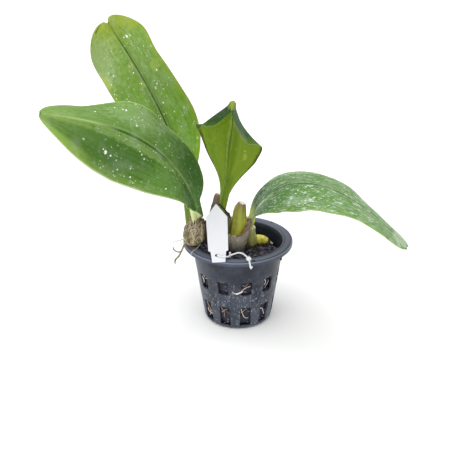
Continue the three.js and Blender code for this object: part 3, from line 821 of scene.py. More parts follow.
@dataclass
class NetPot:
    """The pot: a flared wall with two rows of windows, a slotted floor and a turned-down rim."""

    foot_radius: float = 31.2 * MM
    flare: float = 0.145
    wall: float = 1.4 * MM
    floor: float = 1.6 * MM
    corner: float = 5.5 * MM
    edge: float = 0.28 * MM
    windows: int = 11
    window_width: float = 9.6 * MM
    window_round: float = 1.7 * MM
    first_window: float = 11.9
    window_rows: tuple[tuple[float, float], ...] = ((3.9 * MM, 25 * MM), (38.8 * MM, 53.1 * MM))
    slots: int = 8
    slot_width: float = 4 * MM
    slot_reach: tuple[float, float] = (10 * MM, 21 * MM)
    holes: tuple[float, ...] = (137.0, 257.0, 17.0)
    hole_ring: float = 47 * MM
    hole_height: float = 78.75 * MM
    hole_radius: float = 1.1 * MM
    lugs: tuple[float, ...] = (75.0, 255.0)
    lug_height: float = 63 * MM
    lug_size: tuple[float, float, float] = (2 * MM, 2 * MM, 2.8 * MM)

    def radius(self, height: float) -> float:
        """Gives the wall's outer radius at a height."""
        return self.foot_radius + self.flare * height

    def profile(self) -> list[tuple[float, float]]:
        """Gives the inner and top surface from the floor to the lip, as radius and height."""
        size = self.corner - self.wall
        start = self.radius(self.floor + size) - self.wall - size
        low = self.window_rows[0][0]
        steep = math.acos(1 - (low - self.floor) / size)
        angles = [0, steep * 0.35, steep * 0.7, steep, blend(steep, math.pi / 2, 0.5), math.pi / 2]
        line = [(start + size * math.sin(a), self.floor + size * (1 - math.cos(a))) for a in angles]
        stops = [10, 15, 20, 25, 29, 33, 36, 38.8, 43, 48, 53.1, 57, 62, 67, 71, 75]
        line += [(self.radius(z * MM) - self.wall, z * MM) for z in stops]
        rim = [(40.85, 77.6), (41.0, 78.4), (41.5, 78.9), (42.2, 79.0), (42.9, 78.8), (44.3, 78.75),
               (45.4, 78.8), (47.0, 78.75), (48.0, 78.7), (48.2, 78.4), (49.2, 78.3), (49.75, 78.0),
               (50.0, 77.3), (50.0, 76.2), (50.0, 75.2)]
        return line + [(r * MM, z * MM) for r, z in rim]

    def sheet_place(self, line: list[tuple[float, float]], spread: list[float], opening: float,
                    pieces: int, first: float) -> Place:
        """Gives the place rule of a round sheet whose columns follow openings of even width.

        Args:
            line: Radius and height of each row.
            spread: The columns of one piece from -1 to 1; those from -0.5 to 0.5 span the opening.
            opening: The openings' width.
            pieces: How many times the columns repeat round the pot.
            first: The angle of the first opening's middle.

        Returns:
            The rule.
        """
        per_piece = len(spread) - 1
        half = 180 / pieces

        def place(across: float, share: float) -> Vector:
            """Gives a place of the sheet."""
            row = round(share * (len(line) - 1))
            column = round(across * pieces * per_piece)
            index, step = divmod(column, per_piece)
            radius, height = line[row]
            wide = math.degrees(math.asin(min(opening / 2 / max(radius, opening), 1)))
            at = spread[step]
            inner = 2 * wide * at
            outer = math.copysign(blend(wide, half, (abs(at) - 0.5) * 2), at)
            angle = first + 2 * half * index + (inner if abs(at) <= 0.5 else outer)
            return round_pot(radius, angle, height)

        return place

    def build(self, material: Material) -> Object:
        """Builds the wall, rim and floor as one sheet."""
        mesh = bmesh.new()
        line = self.profile()
        spread = [-1, -0.88, -0.76, -0.64, -0.5, -0.36, -0.15, 0.15, 0.36, 0.5, 0.64, 0.76, 0.88, 1]
        per_piece = len(spread) - 1
        left, right = spread.index(-0.5), spread.index(0.5)

        def row_at(height: float) -> int:
            """Gives the row of the profile nearest to a height."""
            return min(range(len(line)), key=lambda row: abs(line[row][1] - height))

        edges = [(row_at(low), row_at(high)) for low, high in self.window_rows]

        def in_window(column: int, row: int) -> bool:
            """Says whether a cell of the wall lies in a window."""
            return left <= column % per_piece < right and any(low <= row < high for low, high in edges)

        wall = add_sheet(mesh, self.windows * per_piece, len(line) - 1,
                         self.sheet_place(line, spread, self.window_width, self.windows, self.first_window),
                         in_window)
        corners = [vert for vert in wall if vert.is_boundary and len(vert.link_faces) == 3]
        cut_back(mesh, corners, self.window_round, 4)
        self.add_rim_holes(mesh)
        self.add_floor(mesh, line[0][0])
        return finish_mesh(mesh, "net_pot", material)

    def hole_centres(self) -> list[Vector]:
        """Gives the middles of the small holes in the rim."""
        return [round_pot(self.hole_ring, angle, self.hole_height) for angle in self.holes]

    def add_rim_holes(self, mesh: BMesh) -> None:
        """Opens the small holes in the rim."""
        for centre in self.hole_centres():
            vert = min(mesh.verts, key=lambda v: (v.co - centre).length)
            vert.co = centre
            bmesh.ops.delete(mesh, geom=cut_back(mesh, [vert], self.hole_radius, 3), context="FACES")

    def add_floor(self, mesh: BMesh, radius: float) -> None:
        """Adds the slotted floor inside the wall's lowest ring, and joins the two."""
        spread = [-1, -0.75, -0.5, 0.0, 0.5, 0.75, 1]
        per_piece = len(spread) - 1
        left, right = spread.index(-0.5), spread.index(0.5)
        low, high = self.slot_reach
        rings = [0.0, low * 0.6, low, blend(low, high, 0.5), high, radius - 2.5 * MM]
        first, last = rings.index(low), rings.index(high)
        foot = [edge for edge in mesh.edges if edge.is_boundary
                and all(abs(v.co.z - self.floor) < 1e-5 for v in edge.verts)]
        disc = add_sheet(mesh, self.slots * per_piece, len(rings) - 1,
                         self.sheet_place([(ring, self.floor) for ring in rings], spread,
                                          self.slot_width, self.slots, 0),
                         lambda column, row: left <= column % per_piece < right and first <= row < last)
        edge_ring = [edge for edge in edges_of(disc) if edge.is_boundary
                     and all(v.co.xy.length > rings[-1] - 0.1 * MM for v in edge.verts)]
        bmesh.ops.bridge_loops(mesh, edges=foot + edge_ring)

    def build_lugs(self, material: Material) -> Object:
        """Builds the small lugs on the outside of the wall."""
        mesh = bmesh.new()
        for angle in self.lugs:
            reach = self.radius(self.lug_height) + self.lug_size[0] * 0.1
            place = Matrix.Translation(round_pot(reach, angle, self.lug_height))
            turn = Matrix.Rotation(math.radians(angle), 4, "Z")
            size = Matrix.Diagonal((*self.lug_size, 1))
            made = bmesh.ops.create_cube(mesh, size=1, matrix=place @ turn @ size)["verts"]
            cut_back(mesh, edges_of(made), 0.4 * MM, 3, "EDGES")
        return finish_mesh(mesh, "pot_lugs", material)

    def dress(self, finish: PotPlastic) -> None:
        """Builds the pot's pieces with their finish."""
        material = finish.material(self.hole_centres())
        pot = self.build(material)
        add_wall(pot, self.wall)
        soften_edges(pot, self.edge)
        settle(pot, "pot_plastic", "pot")
        settle(self.build_lugs(material), "pot_plastic")


# What fills the pot


@dataclass
class GrowingMedium:
    """Dark chips with an uneven top, loose fibres, and roots that show in the windows."""

    pot: NetPot
    level: float = 63.5 * MM
    gap: float = 2.2 * MM
    top_chips: int = 620
    side_chips: int = 520
    fibres: int = 60
    side_band: tuple[float, float] = (4 * MM, 56 * MM)
    hidden_roots: int = 26
    root_width: float = 0.68
    seed: int = 11

    def inner_radius(self, height: float) -> float:
        """Gives the radius of the filling at a height."""
        size = self.pot.corner
        round_off = max(0.0, 1 - (height - self.pot.floor) / size)
        return self.pot.radius(height) - self.pot.wall - self.gap - size * (1 - math.sqrt(1 - round_off**2))

    def build_core(self, material: Material) -> Object:
        """Builds the solid filling under the loose chips."""
        mesh = bmesh.new()
        low, high = self.pot.floor + 0.4 * MM, self.level - 1.2 * MM
        side, top = 0.1, 0.6

        def place(across: float, share: float) -> Vector:
            """Gives a place on the filling's skin: its foot, its side, then its top."""
            height = blend(low, high, min(max((share - side) / (top - side), 0), 1))
            reach = min(share / side, 1) if share < top else 1 - (share - top) / (1 - top)
            spot = round_pot(self.inner_radius(height) * reach, 360 * across, height)
            rough = grain(spot, 5 * MM) * 1.1 * MM + grain(spot, 2 * MM, 3) * 0.5 * MM
            if share >= top:
                spot.z += rough * 1.4
            elif share >= side:
                spot -= Vector((spot.x, spot.y, 0)).normalized() * abs(rough)
            return spot

        add_sheet(mesh, 110, 40, place)
        return finish_mesh(mesh, "medium_core", material)

    def add_chip(self, mesh: BMesh, draw: random.Random, centre: Vector, size: float) -> None:
        """Adds one irregular chip.

        Args:
            mesh: The mesh that it is added to.
            draw: Where its random numbers come from.
            centre: Its place.
            size: Its length.
        """
        tint = tint_layer(mesh)
        place = Matrix.Translation(centre) @ Matrix.Rotation(draw.uniform(0, TURN), 4, "Z")
        for axis in "XY":
            place = place @ Matrix.Rotation(draw.gauss(0, 0.45), 4, axis)
        sizes = (size * 0.5, size * draw.uniform(0.22, 0.45), size * draw.uniform(0.16, 0.34), 1)
        made = bmesh.ops.create_icosphere(mesh, subdivisions=1, radius=1,
                                          matrix=place @ Matrix.Diagonal(sizes))["verts"]
        shade = draw.random()
        for vert in made:
            vert.co += Vector([draw.uniform(-1, 1) for _ in range(3)]) * size * 0.07
            vert[tint] = shade

    def build_chips(self, material: Material) -> Object:
        """Builds the loose chips on the top and behind the windows."""
        mesh = bmesh.new()
        draw = random.Random(self.seed)
        radius = self.inner_radius(self.level) + 0.6 * MM
        for _ in range(self.top_chips):
            spot = round_pot(radius * math.sqrt(draw.random()), draw.uniform(0, 360), 0)
            spot.z = self.level + draw.uniform(-1.4, 0.9) * MM + grain(spot, 14 * MM) * 1.2 * MM
            self.add_chip(mesh, draw, spot, draw.uniform(1.8, 5.2) * MM)
        for _ in range(self.side_chips):
            height = draw.uniform(*self.side_band)
            reach = self.inner_radius(height) - draw.uniform(-0.5, 0.6) * MM
            self.add_chip(mesh, draw, round_pot(reach, draw.uniform(0, 360), height),
                          draw.uniform(1.6, 3.6) * MM)
        return finish_mesh(mesh, "medium_chips", material, is_smooth=False)

    def build_fibres(self, material: Material) -> Object:
        """Builds the thin fibres that lie on the chips."""
        mesh = bmesh.new()
        draw = random.Random(self.seed + 1)
        radius = self.inner_radius(self.level) - 1 * MM
        for _ in range(self.fibres):
            spot = round_pot(radius * math.sqrt(draw.random()), draw.uniform(0, 360), self.level + 1.5 * MM)
            way = level_way(draw) * draw.uniform(2, 6) * MM
            bow = Vector((-way.y, way.x, 0)) * draw.uniform(-0.5, 0.5)
            bow.z = draw.uniform(0, 1.5) * MM
            low = Vector((0, 0, -1.5 * MM))
            add_strand(mesh, [spot - way + low, spot + bow, spot + way + low],
                       draw.uniform(0.1, 0.25) * MM, 4, 7, draw.random())
        return finish_mesh(mesh, "medium_fibres", material)

    def build_roots(self, material: Material) -> Object:
        """Builds the pale roots that cross the windows, and others at random."""
        mesh = bmesh.new()
        # Each route is by angle, depth under the wall's outside and height, with a radius and a tint.
        routes = [
            ([(-6, -0.4, 41.5), (-2, -0.5, 42), (3, -0.4, 43), (8, 1.0, 45.5), (13, 1.6, 47),
              (19, 2.4, 47.5)], 0.5, 0.75),
            ([(-3, -0.7, 41), (0, -0.8, 42), (4.5, -0.3, 43.2), (7, 1.4, 43)], 0.85, 1.0),
            ([(-8, -0.3, 43.5), (-4, -0.4, 41.8), (0, -0.4, 42.4)], 0.3, 0.95),
            ([(6, 1.6, 50), (10, 1.4, 48.5), (14, 1.8, 50.5)], 0.3, 0.5),
            ([(39, 1.2, 52), (42, 1.0, 49), (41, 1.4, 45)], 0.4, 0.95),
            ([(43, 1.8, 41), (47, 1.6, 45), (51, 2.2, 48)], 0.35, 0.6),
            ([(-60, 1.0, 50), (-57, 0.9, 47), (-58, 1.2, 43)], 0.5, 0.95),
            ([(-57, 1.4, 51.5), (-53, 1.4, 49.5), (-48, 2.0, 50)], 0.35, 0.85),
            ([(-27, 1.4, 52), (-24, 1.4, 51), (-19, 2.0, 51.5)], 0.28, 0.6),
            ([(-59, 1.2, 23), (-55, 1.1, 18), (-49, 1.6, 13)], 0.5, 0.55),
            ([(-61, 1.4, 15), (-55, 1.0, 12), (-48, 1.6, 11)], 0.45, 0.9),
            ([(-58, 1.4, 7), (-54, 1.2, 10), (-52, 1.6, 16)], 0.4, 0.75),
            ([(-28, 1.4, 24), (-25, 1.0, 21), (-22.5, 1.2, 17), (-24, 1.8, 12)], 0.42, 0.5),
            ([(-27, 1.4, 17), (-23, 1.2, 20), (-17, 1.8, 22)], 0.35, 0.7),
            ([(4, 0.8, 24.5), (6.5, 0.9, 20), (9, 1.2, 15), (13, 1.4, 12.5), (18, 1.9, 12)], 0.48, 0.8),
            ([(5, 1.5, 18), (9, 1.2, 21), (14, 1.8, 23)], 0.32, 0.6),
            ([(36, 1.4, 19), (41, 0.9, 19.5), (46, 1.1, 15), (50, 1.6, 10)], 0.45, 1.0),
            ([(68, 1.6, 8), (74, 1.4, 15), (79, 1.8, 20)], 0.5, 0.7),
        ]
        draw = random.Random(self.seed + 2)
        for _ in range(self.hidden_roots):
            start, height = draw.uniform(60, 300), draw.uniform(8, 50)
            route = [(start + i * draw.uniform(2, 5), draw.uniform(1.9, 3.2),
                      height + i * draw.uniform(-4, 4)) for i in range(4)]
            routes.append((route, draw.uniform(0.45, 0.85), draw.uniform(0.4, 0.9)))
        for route, radius, tint in routes:
            line = [round_pot(self.pot.radius(z * MM) - depth * MM, angle, z * MM)
                    for angle, depth, z in route]
            add_strand(mesh, line, self.root_width * radius * MM, 10, 22, tint)
        return finish_mesh(mesh, "medium_roots", material)

    def dress(self) -> None:
        """Builds the filling's pieces with their finishes."""
        dark = ChipFinish("medium", ((0.0, "3f3f4d"), (0.5, "545161"), (1.0, "625862")))
        chips = ChipFinish("medium_chips", ((0.0, "575868"), (0.6, "747183"), (0.85, "85798a"),
                                            (0.95, "8f868e"), (1.0, "bfb6b4")), 0.4)
        dry = FibreFinish("medium_fibres", ((0.0, "332c2c"), (0.6, "4a3f3b"), (0.9, "6b5a4e"),
                                            (1.0, "8a7a6c")))
        roots = FibreFinish("medium_roots", ((0.0, "6e5644"), (0.4, "a4886c"), (0.7, "cdbba6"),
                                             (1.0, "f4f0ea")))
        settle(self.build_core(dark.material()), "medium", "growing_medium")
        settle(self.build_chips(chips.material()), "medium")
        settle(self.build_fibres(dry.material()), "medium")
        settle(self.build_roots(roots.material()), "medium")


# Rhizome, bulbs and sheaths


@dataclass
class Rod:
    """A ridged round rod: an axis and a radius at even steps, from its foot up."""

    axis: tuple[Triple, ...]
    radii: tuple[float, ...]
    ridges: int = 5
    ridge: float = 0.05
    rough: float = 0.25 * MM
    blunt: float = 0.09

    def skin(self, across: float, share: float, lift: float = 0.0) -> Vector:
        """Gives a place on the rod's skin.

        Args:
            across: The angle round it, as a share of a turn from the front.
            share: The place along it.
            lift: How far above the skin.

        Returns:
            The place.
        """
        line = points(self.axis)
        middle = along(line, share)
        way = around(heading(line, share), across)
        radius = along(self.radii, share) * MM * (1 + self.ridge * math.cos(self.ridges * TURN * across))
        rough = grain(middle + way * radius, 4 * MM, self.ridges) * self.rough
        return middle + way * ((radius + rough) * dome(share, 0.06, self.blunt) + lift)

    def build(self, name: str, material: Material, sides: int = 56) -> Object:
        """Builds the closed rod, with its rows set closer at its ends."""
        mesh = bmesh.new()
        add_sheet(mesh, sides, 60,
                  lambda across, share: self.skin(across, 0.5 - 0.5 * math.cos(math.pi * share)))
        return finish_mesh(mesh, name, material)


@dataclass
class Rhizome:
    """The creeping stem between the bulbs: rough bark with rings and short roots."""

    path: tuple[Triple, ...] = ((-41, -5, 85.5), (-30, -3, 80.5), (-18, -3, 72), (-4, 4, 67), (11, 12, 66),
                                (19, 17, 66.5))
    radius: float = 3.3 * MM
    rings: int = 11
    collar: float = 0.55 * MM
    rough: float = 0.5 * MM
    furrows: int = 9
    furrow: float = 0.2 * MM
    roots: int = 14
    seed: int = 5
    strand: tuple[Triple, ...] = ((-18.9, -11.5, 120.2), (-13.4, -9, 113.2), (-8.0, -6.2, 104.4),
                                  (-7.6, -4, 97))
    strand_radius: float = 0.75 * MM
    ground: float = 63 * MM
    start_reach: float = 38 * MM
    end_reach: float = 34 * MM

    def build(self, material: Material) -> Object:
        """Builds the stem with a collar at each ring."""
        mesh = bmesh.new()
        line = points(self.path)

        def place(across: float, share: float) -> Vector:
            """Gives a place on the stem's skin."""
            way = around(heading(line, share), across)
            angle = TURN * across
            middle = along(line, share)
            step = (share * self.rings + 0.12 * math.cos(angle)) % 1
            collar = self.collar * smooth(0, 0.12, step) * (1 - step)
            rough = self.rough * grain(middle + way * self.radius, 3 * MM)
            furrow = self.furrow * math.cos(self.furrows * angle + 5 * grain(middle, 10 * MM))
            size = (self.radius * 0.94 + collar + rough + furrow) * dome(share, 0.04, 0.04)
            return middle + way * size

        add_sheet(mesh, 48, 150, place)
        return finish_mesh(mesh, "rhizome_stem", material)

    def build_roots(self, material: Material) -> Object:
        """Builds the short roots that run from the stem into the chips, and a dry strand by the tag."""
        mesh = bmesh.new()
        draw = random.Random(self.seed)
        line = points(self.path)
        for i in range(self.roots):
            start = along(line, 0.1 + 0.85 * i / (self.roots - 1))
            way = level_way(draw)
            end = start + way * draw.uniform(6, 14) * MM
            end.z = min(start.z - 4 * MM, self.ground)
            if end.xy.length > self.end_reach or start.xy.length > self.start_reach:
                continue
            middle = start.lerp(end, 0.55) + Vector((0, 0, 2.5 * MM))
            bow = Vector((-way.y, way.x, 0)) * draw.uniform(-2, 2) * MM
            add_strand(mesh, [start, middle + bow, end, end + Vector((0, 0, -4 * MM))],
                       lambda share: blend(0.9, 0.6, share) * MM, 8, 16, draw.uniform(0.15, 0.75))
        add_strand(mesh, points(self.strand), self.strand_radius, 8, 24, 0.1)
        return finish_mesh(mesh, "rhizome_roots", material)

    def dress(self) -> None:
        """Builds the stem and its roots with their finishes."""
        bark = BulbSkin("rhizome_bark", ((0.0, "4c402c"), (0.5, "574a30"), (1.0, "403527")), "261f16", 9,
                        "7d7054", 0.5, 0.75, 0.35 * MM)
        roots = FibreFinish("rhizome_roots", ((0.0, "3a3028"), (0.5, "62513f"), (1.0, "a39480")))
        settle(self.build(bark.material()), "rhizome_bark", "rhizome")
        settle(self.build_roots(roots.material()), "rhizome_bark")


@dataclass
class Husk:
    """The left bulb: an olive core under a net of dry fibres, with dried tips and air roots."""

    rod: Rod = field(default_factory=lambda: Rod(
        ((-38.5, -13.4, 79.7), (-39.2, -13.6, 84), (-38.9, -13.5, 91), (-36.6, -13.2, 98.5),
         (-34.9, -13.4, 105)),
        (4.5, 8.6, 9.2, 6.9, 4.3), 7, 0.06))
    fibres: int = 210
    strips: int = 9
    hairs: int = 46
    pale_tips: tuple[float, float] = (66 * MM, 61 * MM)
    seed: int = 3

    def build_net(self, material: Material) -> Object:
        """Builds the fibres that criss-cross over the bulb."""
        mesh = bmesh.new()
        draw = random.Random(self.seed)
        for _ in range(self.fibres):
            start, height = draw.random(), draw.uniform(0.22, 0.72)
            lean = draw.choice((-1, 1)) * draw.uniform(0.05, 0.35)
            reach = draw.uniform(0.25, 0.6)
            lift = draw.uniform(0.1, 0.9) * MM
            line = [self.rod.skin(start + lean * share + draw.gauss(0, 0.008),
                                  min(height + reach * share, 0.96), lift * (0.4 + share))
                    for share in (0, 0.25, 0.5, 0.75, 1)]
            size = draw.uniform(0.12, 0.36) * MM
            add_strand(mesh, line, lambda share: size * (1 - 0.5 * share), 5, 14, draw.random() ** 0.8)
        return finish_mesh(mesh, "husk_net", material)

    def build_strips(self, material: Material) -> Object:
        """Builds the flat papery strips that end in dried tips round the bulb's top."""
        mesh = bmesh.new()
        tint = tint_layer(mesh)
        draw = random.Random(self.seed + 1)
        for i in range(self.strips):
            start = (i + draw.uniform(-0.3, 0.3)) / self.strips
            low, high = draw.uniform(0.25, 0.55), draw.uniform(0.88, 1.0)
            wide = draw.uniform(0.016, 0.034)
            beyond = draw.uniform(0.5, 5.5) * MM
            flare = draw.uniform(0.2, 1.6) * MM
            lean = draw.uniform(-0.06, 0.06)

            def place(across: float, share: float) -> Vector:
                """Gives a place on a strip that narrows to its tip."""
                body = min(share / 0.7, 1)
                over = min(max(0.0, (share - 0.7) / 0.3), 1.0)
                side = 2 * across - 1
                narrow = wide * (1 - over) ** 0.7 * smooth(-0.2, 0.25, share)
                spot = self.rod.skin(start + lean * share + narrow * side, blend(low, high, body) * 0.93,
                                     0.45 * MM + flare * over**2)
                curl = 0.35 * MM * math.cos(math.pi * side) * (1 - over)
                return spot + Vector((0, 0, beyond * over + curl))

            shade = draw.random()
            for vert in add_sheet(mesh, 5, 16, place):
                vert[tint] = shade
        piece = finish_mesh(mesh, "husk_strips", material)
        add_wall(piece, 0.25 * MM, 0)
        return piece

    def build_hairs(self, material: Material) -> Object:
        """Builds the loose fibres that stand away from the bulb."""
        mesh = bmesh.new()
        draw = random.Random(self.seed + 2)
        for _ in range(self.hairs):
            across, height = draw.random(), draw.uniform(0.1, 0.9)
            start = self.rod.skin(across, height, 0.1 * MM)
            away = (start - self.rod.skin(across, height, -2 * MM)).normalized()
            side = Vector((draw.gauss(0, 1), draw.gauss(0, 1), draw.gauss(-0.4, 1))).normalized()
            reach = draw.uniform(2, 6) * MM
            line = [start + (away * out + side * over) * reach
                    for out, over in ((0, 0), (0.4, 0.2), (0.6, 0.7))]
            add_strand(mesh, line, draw.uniform(0.06, 0.13) * MM, 4, 6, draw.uniform(0.4, 1))
        return finish_mesh(mesh, "husk_hairs", material)

    def build_air_roots(self, material: Material) -> Object:
        """Builds the air roots that hang over the rim, and the dark dried tips round the bulb's top."""
        mesh = bmesh.new()
        # Each route has a radius and a tint.
        routes = [
            (((-42, -15, 85), (-47.5, -18, 81.7), (-50.3, -18, 75.7), (-53.2, -18, 69.6), (-56.5, -18, 65.6),
              (-57.1, -18, 61.5)), 0.85, 0.4),
            (((-51, -18, 74), (-54, -18, 73.7), (-57.5, -18, 75.7), (-58.3, -18, 78.7)), 0.55, 0.15),
            (((-43, -17, 88), (-50, -18, 86), (-55, -18, 84.5), (-58, -17, 82.5)), 0.38, 0.8),
            (((-41, -17, 83), (-46, -19, 83.5), (-50, -20, 82.5), (-53, -19, 80.5)), 0.35, 0.9),
            (((-34, -17, 81), (-36.5, -23.5, 80), (-40, -27.6, 79.3), (-42, -29.3, 76.8)), 0.28, 1.0),
            (((-37, -17, 99), (-34.5, -17.5, 102.5), (-32.4, -17, 106)), 0.9, 0.0),
            (((-34, -16, 98), (-31.2, -16.4, 102), (-30.4, -16, 105.5)), 1.0, 0.05),
            (((-33, -14, 96), (-29.8, -14, 99.5), (-28.6, -13.5, 103)), 0.8, 0.0),
            (((-39, -18, 100), (-38.4, -19, 103), (-38.6, -19, 105.5)), 0.6, 0.1),
        ]
        for route, radius, shade in routes:
            add_strand(mesh, points(route), lambda share: radius * MM * (1.06 - 0.3 * share), 12, 40, shade)
        tint = tint_layer(mesh)
        for vert in mesh.verts:
            rough = Vector([grain(vert.co, 1.6 * MM, seed) for seed in (0, 5, 9)])
            vert[tint] += 0.45 * smooth(*self.pale_tips, vert.co.z)
            vert.co += rough * 0.18 * MM
        return finish_mesh(mesh, "air_roots", material)

    def dress(self) -> None:
        """Builds the husk's pieces with their finishes."""
        core = BulbSkin("husk", ((0.0, "dfcbbc"), (0.16, "d8bda4"), (0.28, "b3926c"), (0.38, "787c4a"),
                                 (0.62, "6c7642"), (1.0, "7a6e54")), "6a6046", 7, "c4b594", 0.6, 0.65)
        net = FibreFinish("husk_net", ((0.0, "4a3c2b"), (0.3, "84765c"), (0.6, "b3a587"), (1.0, "ebe2cd")))
        dry = FibreFinish("husk_strips", ((0.0, "4a3629"), (0.45, "80684e"), (0.8, "ad9a7a"),
                                          (1.0, "ccbc9c")))
        roots = FibreFinish("air_roots", ((0.0, "4d3d26"), (0.35, "7d7146"), (0.7, "a5986b"),
                                          (1.0, "e2dcc6")))
        fibres = net.material()
        settle(self.rod.build("husk_core", core.material()), "husk", "pseudobulb_left")
        settle(self.build_net(fibres), "husk")
        settle(self.build_strips(dry.material()), "husk")
        settle(self.build_hairs(fibres), "husk")
        settle(self.build_air_roots(roots.material()), "husk")


@dataclass
class Bulb:
    """A bulb that stands bare: its node's name, its form and its skin."""

    name: str
    node: str
    slot: str
    rod: Rod
    skin: BulbSkin

    def dress(self) -> None:
        """Builds the bulb with its finish."""
        settle(self.rod.build(self.name, self.skin.material()), self.slot, self.node)


def bulbs() -> list[Bulb]:
    """Gives the five bulbs that stand without a husk."""
    return [
        Bulb("back_left_bulb", "pseudobulb_back_left", "bulb_skin",
             Rod(((-38, -1, 84.5), (-42, 2.5, 87), (-45.2, 4.4, 92.2)), (4, 5.6, 4.3)),
             BulbSkin("bulb_skin_back_left", ((0.0, "6a6234"), (0.5, "7d8540"), (1.0, "8f9a52")),
                      "4c4a22", 5)),
        Bulb("centre_bulb", "pseudobulb_centre", "bulb_skin",
             Rod(((-17, -1, 72), (-15.5, -1.5, 82), (-12.6, -3, 93), (-11.3, -3, 100), (-10.9, -2.6, 106.2)),
                 (4.5, 6.3, 6.2, 5, 3.6), 6),
             BulbSkin("bulb_skin_centre", ((0.0, "44422a"), (0.4, "585b36"), (0.8, "5f643c"),
                                           (0.93, "3a3520"), (1.0, "2e2a1c")), "3f431d", 6)),
        Bulb("old_bulb", "pseudobulb_old", "old_bulb_skin",
             Rod(((-26, -8, 77), (-25.5, -11, 88), (-24.2, -13, 100), (-22.2, -14, 110), (-19.3, -14, 121),
                  (-17.9, -14, 130)), (4.5, 6, 4.4, 3.4, 2.9, 2.4), 5, 0.1, 0.5 * MM),
             BulbSkin("old_bulb_skin", ((0.0, "3c3326"), (0.5, "564a3a"), (0.8, "66594c"), (0.88, "8a6a58"),
                                        (0.95, "f0dccb")), "2a2118", 5, "9a8c7c", 0.7, 0.75, 0.4 * MM)),
        Bulb("bare_bulb", "pseudobulb_bare", "bulb_skin",
             Rod(((-1, 1, 65.5), (-1, 1, 77), (0.2, 0.5, 89), (1.2, 0, 100), (2.2, 0, 108.5),
                  (4.2, 0, 114.7)),
                 (5, 7.2, 7.4, 6.6, 5.5, 3.1), 6, 0.03, 0.3 * MM, 0.035),
             BulbSkin("bulb_skin_bare", ((0.0, "a7a93c"), (0.4, "bfc23c"), (0.6, "a4a83a"), (0.78, "8f8a48"),
                                         (0.86, "8f6f5a"), (0.9, "7d5f50"), (0.93, "f0e9dc")),
                      "62661f", 6, "8f7f66", 0.7)),
        Bulb("right_bulb", "pseudobulb_right", "bulb_skin",
             Rod(((13.2, 12.4, 66), (12.2, 12, 73.5), (12.2, 11.6, 80.5), (12.6, 11, 86.2)),
                 (4.2, 5.2, 4.0, 3.7), 5, 0.03),
             BulbSkin("bulb_skin_right", ((0.0, "babb68"), (0.6, "d6da86"), (0.78, "efebc4"),
                                          (0.86, "f8f4dc"), (1.0, "e3e8a4")), "7a7e3c", 5)),
    ]


@dataclass
class PaperySheath:
    """The torn paper round the bare bulb's foot, with one corner rolled into a dark strip."""

    bulb: Rod
    foot: float = 66.5
    low: float = 86.6
    high: float = 98.2
    corner: float = -5.0
    sharpness: int = 2
    fold_out: float = 1.4
    belly: float = 1.2

    def skin(self, degrees: float, height: float, share: float, lift: float = 0.0) -> Vector:
        """Gives a place on the sheath's outside.

        Args:
            degrees: The angle from +X towards +Y.
            height: The place's height in millimetres.
            share: How far up the sheath that is.
            lift: How far outside the sheath, in metres.

        Returns:
            The place.
        """
        line = points(self.bulb.axis)
        bottom, top = line[0].z, line[-1].z
        at = (height * MM - bottom) / (top - bottom)
        for _ in range(6):
            at += (height * MM - along(line, at).z) / (top - bottom)
        radius = along(self.bulb.radii, at) * (1 + self.bulb.ridge) + 0.3
        radius += self.fold_out * share**2 + 1 + self.belly * math.sin(math.pi * share)
        angle = math.radians(degrees)
        return along(line, at) + Vector((math.cos(angle), math.sin(angle), 0)) * (radius * MM + lift)

    def build(self, material: Material) -> Object:
        """Builds the paper with its torn rim."""
        mesh = bmesh.new()

        def place(across: float, share: float) -> Vector:
            """Gives a place on the paper."""
            degrees = 360 * across
            corner = max(0.0, math.cos(math.radians(degrees - self.corner))) ** self.sharpness
            tear = noise.noise(Vector((math.cos(TURN * across) * 4, math.sin(TURN * across) * 4, 1.5)))
            rim = self.low + (self.high - self.low) * corner + 1.5 * tear - 0.8
            height = blend(self.foot, rim, share)
            spot = self.skin(degrees, height, share, -0.4 * MM)
            crease = 0.35 * MM * math.cos(13 * TURN * across + 3 * share) * share
            away = Vector((spot.x, spot.y, 0)) - Vector((0, 0.5 * MM, 0))
            return spot + away.normalized() * (crease + grain(spot, 4 * MM) * 0.5 * MM)

        add_sheet(mesh, 120, 34, place)
        piece = finish_mesh(mesh, "sheath", material)
        add_wall(piece, 0.3 * MM, 0)
        return piece

    def build_roll(self, material: Material) -> Object:
        """Builds the dark strip that the pointed corner has rolled into."""
        mesh = bmesh.new()
        stations = ((-100, 85.2, 0.9, 0.1), (-78, 86.6, 0.95, 0.3), (-56, 89.0, 1.0, 0.4),
                    (-34, 92.4, 1.0, 0.3), (-12, 95.4, 1.0, 0.1), (10, 97.2, 1.0, -0.6))
        line = [self.skin(degrees, height, share, lift * MM) for degrees, height, share, lift in stations]
        add_strand(mesh, line, lambda share: blend(0.5, 2.1, smooth(0, 0.75, share)) * MM, 14, 44, 0.35)
        low = [spot + Vector((0.3 * MM, -0.6 * MM, -1.6 * MM)) for spot in line[1:5]]
        add_strand(mesh, low, lambda share: (0.4 + 0.9 * math.sin(math.pi * share)) * MM, 12, 30, 0.7)
        return finish_mesh(mesh, "sheath_roll", material)

    def dress(self) -> None:
        """Builds the sheath's pieces with their finishes."""
        roll = FibreFinish("sheath_roll", ((0.0, "463430"), (0.4, "85675d"), (0.8, "b49d8e"),
                                           (1.0, "cfc1b0")))
        settle(self.build(PaperFinish().material()), "sheath_paper", "papery_sheath")
        settle(self.build_roll(roll.material()), "sheath_paper")


